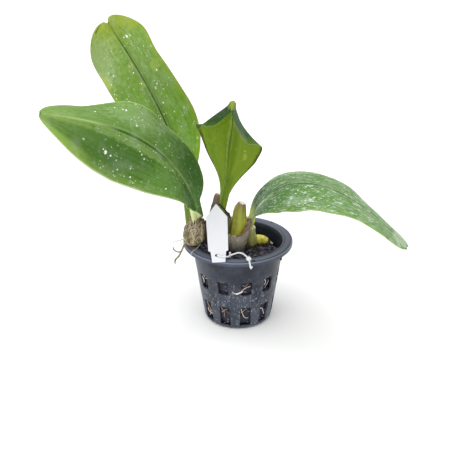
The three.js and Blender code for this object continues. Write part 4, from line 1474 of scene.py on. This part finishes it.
@dataclass
class NewShoot:
    """The young shoot on the medium: yellow-green scales, a brown ring and a white root tip."""

    rod: Rod = field(default_factory=lambda: Rod(
        ((15, 18, 67.5), (19, 18, 68.4), (24.5, 17.4, 68), (29, 17, 66.8), (31, 16.6, 66), (32.9, 16, 64.9)),
        (3.4, 4.5, 3.6, 1.8, 1.1, 0.7), 3, 0.03, 0.15 * MM))
    scales: tuple[Triple, ...] = ((0.06, 0.34, 0.15), (0.2, 0.46, 0.5), (0.32, 0.53, 0.85))

    def build_scales(self, material: Material) -> Object:
        """Builds the scales that wrap the shoot, each with its own pointed edge."""
        mesh = bmesh.new()
        for low, high, turn in self.scales:

            def place(across: float, share: float) -> Vector:
                """Gives a place on a scale."""
                point_up = 1 - 0.35 * abs(2 * across - 1) ** 1.5
                at = blend(low, low + (high - low) * point_up, share)
                return self.rod.skin(turn + (across - 0.5) * 0.85, at, 0.15 * MM + 0.35 * MM * share)

            add_sheet(mesh, 24, 12, place)
        piece = finish_mesh(mesh, "shoot_scales", material)
        add_wall(piece, 0.25 * MM, 0)
        return piece

    def dress(self) -> None:
        """Builds the shoot's pieces with their finishes."""
        # The ground settings paint shade on the shoot's low side, next to the chips.
        skin = BulbSkin("shoot_skin", ((0.0, "b5ba4c"), (0.35, "ecdf4a"), (0.5, "d6cb48"), (0.53, "452c1c"),
                                       (0.63, "4a3020"), (0.67, "f2ecdf"), (1.0, "fdfcf9")), "7d8436", 3,
                        ground=(62.5, 65.5, 0.4), blotches=0.1)
        scale = BulbSkin("shoot_scales", ((0.0, "d0cc45"), (0.6, "f4e64e"), (0.9, "f8ec76"), (1.0, "dcb860")),
                         "7d8436", 9, "c9b35c", 0.3, furrows=0.2, ground=(64.5, 68.5, 0.7))
        settle(self.rod.build("shoot", skin.material(), 36), "shoot_skin", "new_shoot")
        settle(self.build_scales(scale.material()), "shoot_skin")


# Leaves


@dataclass
class Leaf:
    """A blade on a stalk. The form follows its midrib, turned and folded as the CAD leaf is."""

    name: str
    slot: str
    spine: tuple[Triple, ...]
    faces: Triple
    twist: tuple[float, ...]
    fold_left: tuple[float, ...]
    fold_right: tuple[float, ...]
    half_width: float
    stalk: float
    upper: LeafSkin
    under: LeafSkin
    wave: float = 0.9
    bow: float = 0.16
    keel: float = 0.7
    seed: float = 0.0
    base_power: float = 0.62
    tip_power: float = 0.44
    stalk_half_width: float = 3.8
    stalk_depth: float = 2.2
    notch: float = 0.012
    waist: float = 0.0
    crest: Triple = (0.65, 0.0, 3.0)
    last_row: float = 0.999
    row_power: float = 1.35
    blade_thickness: tuple[float, float] = (1.3, 0.8)
    groove: tuple[float, float] = (-0.4, 1.1)
    keel_width: float = 1.7
    crest_length: float = 0.08

    @staticmethod
    def crowd(step: float) -> float:
        """Sets columns from -1 to 1 closer at the midrib and at the margins."""
        size = abs(step)
        return math.copysign(0.4 * size + 0.6 * size * size * (3 - 2 * size), step)

    def place_at(self, across: float, share: float) -> tuple[bool, float, float]:
        """Gives where a place of the flat skin comes to lie.

        Args:
            across: The share across: the upper side on the first half, then the lower.
            share: The share of the rows.

        Returns:
            Whether it is on the upper side, the place across, from -1 to 1, and the place along.
        """
        is_upper = across < 0.5
        at = self.crowd(1 - 4 * across if is_upper else 4 * across - 3)
        return is_upper, at, self.last_row * (1 - max(0.0, 1 - share) ** self.row_power)

    def half_width_at(self, share: float) -> float:
        """Gives half the leaf's width at a share of its length, in metres."""
        at = min(max((share - self.stalk) / (1 - self.stalk), 0.0), 1.0)
        widest = self.base_power / (self.base_power + self.tip_power)
        blade = (self.half_width * (at / widest) ** self.base_power
                 * ((1 - at) / (1 - widest)) ** self.tip_power)
        blade *= 1 - self.waist * (1 - smooth(0, 0.22, at))
        return math.hypot(blade, self.stalk_half_width * (1 - at)) * MM

    def middle(self, share: float, across: float) -> Vector:
        """Gives the middle of the blade's thickness.

        Args:
            share: The place along the midrib.
            across: The place across, from -1 at the right margin to 1 at the left.

        Returns:
            The place.
        """
        line = points(self.spine)
        direction = heading(line, share)
        upper = Vector(self.faces)
        upper = (upper - direction * upper.dot(direction)).normalized()
        upper.rotate(Matrix.Rotation(math.radians(along(self.twist, share)), 3, direction))
        side = direction.cross(upper)
        fold = math.radians(along(self.fold_left if across > 0 else self.fold_right, share))
        width = self.half_width_at(share)
        reach = width * abs(across)
        bow = self.bow * width * (abs(across) - across * across) * smooth(0.1, 0.35, share)
        return (along(line, share) + side * math.copysign(reach * math.cos(fold), across)
                + upper * (reach * math.sin(fold) + bow + self.ripple(share, across)))

    def ripple(self, share: float, across: float) -> float:
        """Gives the gentle waves of the blade, strongest at its margins."""
        at = Vector((share * 9, across * 0.8, self.seed))
        blade = smooth(self.stalk, 0.35, share) * smooth(1.02, 0.85, share)
        return self.wave * MM * blade * noise.noise(at) * 2.0 * across**2

    def normal(self, share: float, across: float) -> Vector:
        """Gives the direction square to the blade, towards its upper side."""
        step = 1e-3
        inside = min(max(share, step), 1 - step)
        lengthways = self.middle(inside + step, across) - self.middle(inside - step, across)
        crossing = self.middle(inside, min(across + step, 1)) - self.middle(inside, max(across - step, -1))
        return crossing.cross(lengthways).normalized()

    def thickness(self, share: float, across: float) -> float:
        """Gives the blade's thickness, which closes at its margins."""
        near = abs(across)
        blade = blend(*self.blade_thickness, near)
        stalk = 0.8 + self.stalk_depth * math.sqrt(max(0.0, 1 - across * across))
        mixed = blend(stalk, blade, smooth(self.stalk * 0.6, self.stalk * 2, share))
        return mixed * MM * math.sqrt(max(0.0, 1 - near**14)) * math.sqrt(smooth(1.004, 0.975, share))

    def relief(self, share: float, across: float, is_upper: bool) -> float:
        """Gives the groove over the midrib, or the keel under it."""
        away = abs(across) * self.half_width_at(share) / MM
        blade = smooth(self.stalk, self.stalk * 2.2, share) * smooth(1, 0.85, share)
        size, width = self.groove if is_upper else (self.keel, self.keel_width)
        at, height, spread = self.crest
        from_crest = ((share - at) / self.crest_length) ** 2 + (away / spread) ** 2
        knob = height * math.exp(-from_crest) if is_upper else 0.0
        return MM * (knob + size * blade * math.exp(-((away / width) ** 2)))

    def build(self, *materials: Material, columns: int = 112, rows: int = 130) -> Object:
        """Builds the blade as one closed skin, with the underside as its second material."""
        mesh = bmesh.new()

        def place(across: float, share: float) -> Vector:
            """Gives a place on the skin: the upper side on the first half, then the lower."""
            is_upper, at, end = self.place_at(across, share)
            cut = end - self.notch * (1 - abs(at)) ** 2 * smooth(0.9, 1, end)
            lift = self.thickness(end, at) / 2 + self.relief(end, at, is_upper)
            return self.middle(cut, at) + self.normal(cut, at) * (lift if is_upper else -lift)

        add_sheet(mesh, columns, rows, place)
        self.map_skin(mesh)
        bmesh.ops.holes_fill(mesh, edges=[edge for edge in mesh.edges if edge.is_boundary], sides=0)
        return finish_mesh(mesh, self.name, *materials)

    def map_skin(self, mesh: BMesh) -> None:
        """Sets the UV map: 0 to 1 from the right margin to the left, and the share along the leaf."""
        layer = mesh.loops.layers.uv.verify()
        for face in mesh.faces:
            centre = sum(loop[layer].uv.x for loop in face.loops) / len(face.loops)
            face.material_index = 0 if centre < 0.5 else 1
            for loop in face.loops:
                across, share = loop[layer].uv
                _, at, end = self.place_at(across, share)
                loop[layer].uv = (0.5 + 0.5 * at, end)

    def dress(self) -> None:
        """Builds the leaf with its two skins."""
        line = points(self.spine)
        length = sum((along(line, (i + 1) / 20) - along(line, i / 20)).length for i in range(20))
        skins = [skin.material(2 * self.half_width * MM, length) for skin in (self.upper, self.under)]
        settle(self.build(*skins), self.slot, self.name.removesuffix("_blade"))


def leaves() -> list[Leaf]:
    """Gives the four leaves with their skins."""
    pale_under = dict(deep="526c26", midrib="8a9a48", shine="95a857", margin="a5b26c", marks=0.25, bloom=0.03,
                      specular=0.1)
    return [
        Leaf("leaf_upper_left_blade", "leaf_light",
             ((-43.8, 5, 91), (-50, 24, 133), (-64, 43, 170), (-82, 62, 202), (-102, 81, 230),
              (-122, 98, 255)),
             (0, -1, 0.3), (-15, -15, -25, -5), (28, 30, 10, 20, 25, 25, 55), (25, 20, 15, 10, 0, 10, 55),
             39.8, 0.12,
             LeafSkin("leaf_upper_left_skin",
                      ((0.0, "94a452"), (0.12, "638e17"), (0.4, "618b1e"), (0.62, "688c32"), (0.8, "7b9c46"),
                       (1.0, "9fb244")),
                      "3a5e1c", "1d2d0b", "94ab60", "8f8c50", edge=0.45, edge_colour="82a022", midrib_shade=0.75,
                      marks=1.0, marks_low=0.1, marks_high=0.85, dark_specks=0.25,
                      patches=(Patch(0.95, 0.9, (0.25, 0.08), "9eae38", 0.5),
                               Patch(0.12, 0.84, (0.28, 0.14), "98b077", 0.6),
                               Patch(0.84, 0.64, (0.1, 0.04), "a3b746", 0.3),
                               Patch(0.44, 0.63, (0.06, 0.025), "9cb242", 0.3),
                               Patch(0.03, 0.76, (0.08, 0.05), "a9b944", 0.55),
                               Patch(0.45, 0.74, (0.05, 0.03), "98a252", 0.4)),
                      spots=(Mark(0.68, 0.85, 1.5), Mark(0.62, 0.86, 0.8), Mark(0.74, 0.84, 0.7),
                             Mark(0.53, 0.83, 0.5), Mark(0.14, 0.78, 0.6), Mark(0.18, 0.755, 0.7),
                             Mark(0.09, 0.73, 0.6), Mark(0.05, 0.66, 0.6), Mark(0.43, 0.70, 0.6),
                             Mark(0.45, 0.635, 0.6), Mark(0.82, 0.62, 0.8), Mark(0.7, 0.58, 0.7),
                             Mark(0.62, 0.5, 0.7), Mark(0.2, 0.6, 0.7), Mark(0.09, 0.962, 1.3, "33270f"),
                             Mark(0.11, 0.975, 1.4, "33270f"), Mark(0.13, 0.987, 1.0, "33270f"),
                             Mark(0.7, 0.97, 0.6, "6b5524"), Mark(0.85, 0.93, 0.6, "8a5a30"))),
             LeafSkin("leaf_upper_left_under", ((0.0, "7f9448"), (0.5, "6f8a38"), (1.0, "8a9a50")),
                      **pale_under),
             seed=1.3),
        Leaf("leaf_left_blade", "leaf_dark",
             ((-37, -12, 104), (-43, -31, 142), (-59, -48, 174), (-81, -63, 198), (-112, -73, 214),
              (-152, -79, 223)),
             (0, -0.8, 0.6), (35, 35, 25, 25, 40), (25, 10, -10, -10, -25, -10), (20, 24, -5, -36, -26, 10),
             39, 0.1,
             LeafSkin("leaf_left_skin",
                      ((0.0, "3d6524"), (0.1, "3f6925"), (0.4, "476d20"), (0.7, "567d27"), (1.0, "7d9c45")),
                      # The half shading colour paints light on the upper half, which faces the sky.
                      "2b4d1b", "1c2d0d", "93ad68", "d3dfa6", half_shading_colour="6d9546", half_shading_share=0.3, edge=0.35,
                      edge_colour="7fa045", midrib_shade=0.3, marks=1.0, marks_low=0.05, marks_high=0.75,
                      ribs=((0.0, "c9d8a0"), (0.3, "a3bd7c"), (0.42, "39551f"), (0.68, "2c451a"),
                            (0.8, "a3b878"), (1.0, "8e9a4a")),
                      pale_foot=(1.336, 64.8),
                      # Painted shade over the lower half.
                      patches=(Patch(0.26, 0.72, (0.24, 0.36), "335a1c", 0.62),
                               # Painted highlight band just below the midrib.
                               Patch(0.425, 0.55, (0.06, 0.42), "89a862", 0.4),
                               Patch(0.4, 0.0, (0.3, 0.04), "ecf2c8", 1.0),
                               # Painted sheen on the upper half.
                               Patch(0.8, 0.6, (0.22, 0.18), "98b478", 0.3),
                               # Painted shadow on the upper half near the foot.
                               Patch(0.8, 0.25, (0.35, 0.18), "2c5420", 0.6),
                               Patch(0.05, 0.9, (0.12, 0.12), "8fae50", 0.4),
                               Patch(0.22, 0.36, (0.3, 0.14), "6f9a48", 0.35)),
                      spots=(Mark(0.22, 0.72, 1.3), Mark(0.24, 0.735, 0.6), Mark(0.21, 0.69, 0.7),
                             Mark(0.25, 0.83, 0.9, "a9c09a"), Mark(0.36, 0.54, 0.7, "c5d6b4"),
                             Mark(0.38, 0.555, 0.4), Mark(0.33, 0.52, 0.5), Mark(0.75, 0.79, 0.7),
                             Mark(0.83, 0.65, 0.9), Mark(0.84, 0.665, 0.6), Mark(0.86, 0.7, 0.6),
                             Mark(0.12, 0.62, 0.6, "b9cfa6"), Mark(0.1, 0.54, 0.6), Mark(0.12, 0.36, 0.7),
                             Mark(0.97, 0.6, 0.5), Mark(0.42, 0.35, 0.5), Mark(0.44, 0.3, 0.6),
                             Mark(0.4, 0.26, 0.6), Mark(0.45, 0.24, 0.5), Mark(0.42, 0.21, 0.6),
                             Mark(0.46, 0.18, 0.5), Mark(0.38, 0.4, 0.5), Mark(0.62, 0.42, 0.5),
                             Mark(0.7, 0.4, 0.5))),
             LeafSkin("leaf_left_under",
                      ((0.0, "e6ecc0"), (0.09, "c9d49a"), (0.16, "74903f"), (0.5, "68823c"), (1.0, "7d9048")),
                      **pale_under),
             seed=4.1, stalk_half_width=7.0, stalk_depth=3.4, bow=0.22),
        Leaf("leaf_centre_blade", "leaf_light",
             ((-16.2, -4, 105), (-10.0, -2, 138), (-7, -4, 168), (-4, -15, 195), (-4, -35, 215),
              (-4, -63, 226), (-5, -95, 230)),
             (0, 1, 0.6), (-15, -20, -20, -15), (55, 22, -6, -50, -55, -60), (36, 9, -9, -43, -55, -65),
             34, 0.09,
             LeafSkin("leaf_centre_skin", ((0.0, "6d8436"), (0.5, "2c4e1a"), (1.0, "305420")),
                      "24421a", "8a9430", "4e7434", "93a860", marks=0.2, bloom=0.0, specular=0.06,
                      # The half shading colour paints shade over the left half.
                      roughness=0.6, half_shading_colour="1c3812", half_shading_share=0.6,
                      patches=(Patch(0.5, 0.88, (0.1, 0.1), "6c8232", 1.0),)),
             LeafSkin("leaf_centre_under",
                      ((0.0, "9cab4c"), (0.15, "6e8c2a"), (0.45, "76941c"), (0.8, "7c981c"), (1.0, "7e8c30")),
                      # The half shading colour paints light on the right half, which faces away from the
                      # light.
                      "48661a", "2e3d12", "93a844", "3c4416", side=Side.RIGHT, half_shading_colour="869e30",
                      half_shading_share=0.7, edge=0.4, edge_colour="8aa426", marks=0.2, bloom=0.0, specular=0.05,
                      # The dark rib stops paint shade along the keel.
                      veins=0.2, ribs=((0.0, "6c8a26"), (0.25, "5c7820"), (0.5, "42581a"), (0.9, "2e3d12")),
                      # Painted highlight on the keel's lit side.
                      patches=(Patch(0.535, 0.34, (0.03, 0.42), "a5b85c", 0.4),
                               # Painted shade on the keel's shaded side.
                               Patch(0.43, 0.35, (0.07, 0.32), "587a18", 0.55),
                               # Painted shade in the crevices under both rolled margins.
                               Patch(0.0, 0.3, (0.06, 0.4), "3c4416", 0.7),
                               Patch(1.0, 0.3, (0.07, 0.4), "3c4416", 0.8),
                               Patch(0.22, 0.3, (0.05, 0.03), "b7c852", 0.45),
                               Patch(0.35, 0.13, (0.2, 0.08), "4c6a1e", 0.35),
                               Patch(0.7, 0.3, (0.12, 0.3), "7b9426", 0.4)),
                      spots=(Mark(0.46, 0.16, 0.9, "1d2010"), Mark(0.25, 0.34, 0.6, "dbe68a"))),
             seed=7.7, keel=1.4, bow=0.1, stalk_half_width=4.9, waist=0.5, crest=(0.82, 2.0, 3.6)),
        Leaf("leaf_right_blade", "leaf_dark",
             ((10.5, 11, 85), (21.8, -5, 118.2), (44.5, -25, 141.8), (74, -48, 148.8), (105, -70, 137.9),
              (138, -86, 112)),
             (0, -0.3, 1), (30, 10, -15, -40), (24, 5, -15, -15, 0, -10), (38, 5, -14, -18, -14, 5),
             33.3, 0.06,
             LeafSkin("leaf_right_skin",
                      ((0.0, "e8f088"), (0.075, "dbe87c"), (0.125, "456e34"), (0.5, "5c863c"),
                       (1.0, "6c9050")),
                      "31552a", "2c481c", "8aa86c", "a9bd84", edge=0.15, marks=1.0, dashes=1.0, streaks=0.85,
                      marks_low=0.14, marks_high=1.05, bloom=0.12,
                      patches=(Patch(0.6, 0.12, (0.13, 0.2), "b4cf90", 0.75),
                               Patch(0.83, 0.5, (0.1, 0.12), "b9ccb4", 0.25),
                               # Painted shade on the far half near the foot, where the blade folds.
                               Patch(0.1, 0.16, (0.35, 0.08), "264a28", 0.7),
                               Patch(0.5, 0.97, (0.5, 0.05), "b0c4a4", 0.5),
                               Patch(0.85, 0.24, (0.2, 0.1), "2f5c34", 0.4),
                               Patch(0.04, 0.33, (0.12, 0.16), "a3bd90", 0.45))),
             LeafSkin("leaf_right_under",
                      ((0.0, "eaf482"), (0.08, "dde878"), (0.15, "8a9f4e"), (0.5, "6f8448"), (1.0, "7c9258")),
                      **pale_under),
             seed=10.9, stalk_half_width=6.2, stalk_depth=5.0, tip_power=0.38),
    ]


# Tag and tie


@dataclass
class PlantTag:
    """A blank white tag with a pointed top, leaning on the rim."""

    foot: Triple = (-16.6, -46.5, 78)
    length: float = 51.7
    width: float = 18.8
    shoulder: float = 12.0
    narrow: float = 17.4
    tab: float = 9.5
    tab_top: float = 13.6
    tab_foot: float = 11.4
    tab_step: float = 0.6
    thickness: float = 0.8
    slot_size: tuple[float, float] = (1.7, 1.1)
    slot_place: tuple[float, float] = (-1.4, 6.1)
    lean: float = 33.9
    roll: float = 3.0

    def build(self, material: Material) -> Object:
        """Builds the plate from its outline and its slot."""
        mesh = bmesh.new()
        half = [(self.tab_foot / 2, 0), (self.tab_top / 2, self.tab),
                (self.narrow / 2, self.tab + self.tab_step), (self.width / 2, self.length - self.shoulder),
                (0, self.length)]
        outline = half + [(-x, y) for x, y in reversed(half[:-1])]
        ring = [mesh.verts.new((x, y, 0)) for x, y in outline]
        edges = [mesh.edges.new(pair) for pair in zip(ring, ring[1:] + ring[:1])]
        slot = Matrix.Translation((*self.slot_place, 0)) @ Matrix.Diagonal((*self.slot_size, 1, 1))
        hole = bmesh.ops.create_circle(mesh, cap_ends=False, segments=20, radius=1, matrix=slot)["verts"]
        edges += edges_of(hole)
        bmesh.ops.triangle_fill(mesh, use_beauty=True, use_dissolve=False, edges=edges)
        made = bmesh.ops.extrude_face_region(mesh, geom=mesh.faces[:], use_keep_orig=True)["geom"]
        front = [part for part in made if isinstance(part, BMVert)]
        bmesh.ops.translate(mesh, verts=front, vec=(0, 0, self.thickness))
        place = (Matrix.Translation(point(self.foot)) @ Matrix.Rotation(math.radians(90 - self.lean), 4, "X")
                 @ Matrix.Rotation(math.radians(self.roll), 4, "Z") @ Matrix.Scale(MM, 4))
        bmesh.ops.transform(mesh, matrix=place, verts=mesh.verts)
        piece = finish_mesh(mesh, "tag_plate", material, is_smooth=False)
        soften_edges(piece, 0.18 * MM, 3, 50)
        return piece

    def dress(self, material: Material) -> None:
        """Builds the tag with its finish."""
        settle(self.build(material), "tag_plastic", "plant_tag")


@dataclass
class TagTie:
    """The tag's plastic tie: an arched arm with a cross bar, a knob, a tail and an arrow tip."""

    arm: tuple[Triple, ...] = (
        (-17.7, -41.9, 82.2), (-17.7, -44.1, 83.7), (-16.3, -45.1, 83.7), (-14.2, -45.3, 83.3),
        (-10.7, -45.5, 83.1), (-8.3, -43.2, 82), (-7, -39.6, 81.2), (-3.5, -38.2, 81.9),
        (0, -37.6, 82.7), (3.5, -38.5, 82.7), (6.1, -40.8, 82.1), (8.6, -44.2, 81.2))
    tail: tuple[Triple, ...] = ((9.4, -46, 80.6), (10, -49.6, 79.6), (10.6, -51.9, 77.4), (11.2, -52.2, 75.4))
    bar: tuple[Triple, ...] = ((-7, -38.8, 78.9), (-7, -38.8, 81.6), (-7, -38.8, 84.3))
    knob: tuple[Triple, ...] = ((7.6, -44.3, 81.2), (9.3, -45.6, 80.9), (10.6, -47.2, 80.5))
    tip: Triple = (11.3, -52.2, 75.6)
    radius: float = 0.75
    bar_radius: float = 0.9
    knob_radius: float = 1.3
    knob_swell: float = 0.9
    tip_radii: tuple[float, float] = (1.6, 0.35)
    tip_length: float = 2.4

    def build(self, material: Material) -> Object:
        """Builds the tie as one rigid piece."""
        mesh = bmesh.new()
        for line, radius, rows in ((self.arm, self.radius, 70), (self.tail, self.radius, 30),
                                   (self.bar, self.bar_radius, 16)):
            add_strand(mesh, points(line), radius * MM, 16, rows)

        def swollen(share: float) -> float:
            """Gives the knob's radius at a share of its length."""
            return (self.knob_radius + self.knob_swell * math.sin(math.pi * share)) * MM

        add_strand(mesh, points(self.knob), swollen, 18, 20)
        wide, narrow = self.tip_radii
        place = Matrix.Translation(point(self.tip)) @ Matrix.Rotation(math.pi, 4, "X")
        bmesh.ops.create_cone(mesh, cap_ends=True, segments=20, radius1=wide * MM, radius2=narrow * MM,
                              depth=self.tip_length * MM, matrix=place)
        piece = finish_mesh(mesh, "tie", material)
        soften_edges(piece, 0.15 * MM, 2, 50)
        return piece

    def dress(self, material: Material) -> None:
        """Builds the tie with its finish, which is the tag's too."""
        settle(self.build(material), "tag_plastic", "tag_tie")


# Studio


@dataclass
class Studio:
    """A pale floor, soft light and the camera at the photograph's angle."""

    floor_size: float = 14.0
    lens: float = 66.36
    camera_place: Triple = (0.0, -719.04, 429.70)
    camera_aim: Triple = (-0.9, 0.0, 79.9)
    horizon: float = 0.42
    zenith: float = 0.95
    sun: float = 1.85
    sun_way: Triple = (0.22, 0.2, -1.0)
    fill: float = 0.42
    fill_way: Triple = (0.1, 1.0, -0.5)
    spread: float = 80.0

    def build_floor(self) -> None:
        """Builds the floor, which isn't part of the object."""
        mesh = bmesh.new()
        bmesh.ops.create_grid(mesh, x_segments=4, y_segments=4, size=self.floor_size / 2)
        floor = finish_mesh(mesh, "studio_floor", FloorFinish().material())

    def add_sun(self, name: str, energy: float, way: Triple) -> None:
        """Adds a broad soft light, the same all over the floor.

        Args:
            name: The light's name.
            energy: Its strength.
            way: The direction that it travels in.
        """
        lamp = bpy.data.lights.new(name, "SUN")
        lamp.energy = energy
        lamp.angle = math.radians(self.spread)
        light = bpy.data.objects.new(name, lamp)
        light.rotation_euler = Vector(way).to_track_quat("-Z", "Y").to_euler()
        bpy.context.scene.collection.objects.link(light)

    def add_camera(self) -> None:
        """Adds the camera, and makes it the scene's own."""
        data = bpy.data.cameras.new("camera")
        data.lens = self.lens
        data.sensor_width = 36
        data.clip_start = 0.01
        camera = bpy.data.objects.new("camera", data)
        camera.location = point(self.camera_place)
        way = point(self.camera_aim) - point(self.camera_place)
        camera.rotation_euler = way.to_track_quat("-Z", "Y").to_euler()
        bpy.context.scene.collection.objects.link(camera)
        bpy.context.scene.camera = camera

    def build(self) -> None:
        """Builds the floor, the sky, the lights and the camera."""
        scene = bpy.context.scene
        scene.view_settings.view_transform = "Standard"
        world = bpy.data.worlds.new("studio")
        world.use_nodes = True
        nodes = world.node_tree.nodes
        source = nodes.new("ShaderNodeTexCoord")
        split = nodes.new("ShaderNodeSeparateXYZ")
        rise = nodes.new("ShaderNodeMapRange")
        rise.interpolation_type = "SMOOTHSTEP"
        for place, value in ((1, 0.0), (2, 0.9), (3, self.horizon), (4, self.zenith)):
            rise.inputs[place].default_value = value
        world.node_tree.links.new(source.outputs["Generated"], split.inputs[0])
        world.node_tree.links.new(split.outputs["Z"], rise.inputs[0])
        world.node_tree.links.new(rise.outputs[0], nodes["Background"].inputs["Strength"])
        nodes["Background"].inputs["Color"].default_value = (1.0, 1.0, 1.0, 1.0)
        scene.world = world
        self.build_floor()
        self.add_sun("overhead", self.sun, self.sun_way)
        self.add_sun("front_fill", self.fill, self.fill_way)
        self.add_camera()


def main() -> None:
    """Builds the studio and every piece of the plant, in order."""
    logging.basicConfig(level=logging.INFO, format="%(message)s")
    Studio().build()
    pot = NetPot()
    pot.dress(PotPlastic())
    GrowingMedium(pot).dress()
    Rhizome().dress()
    Husk().dress()
    for bulb in bulbs():
        bulb.dress()
        if bulb.node == "pseudobulb_bare":
            PaperySheath(bulb.rod).dress()
    NewShoot().dress()
    for leaf in leaves():
        leaf.dress()
    plastic = TagPlastic().material()
    PlantTag().dress(plastic)
    TagTie().dress(plastic)


if __name__ == "__main__":
    main()
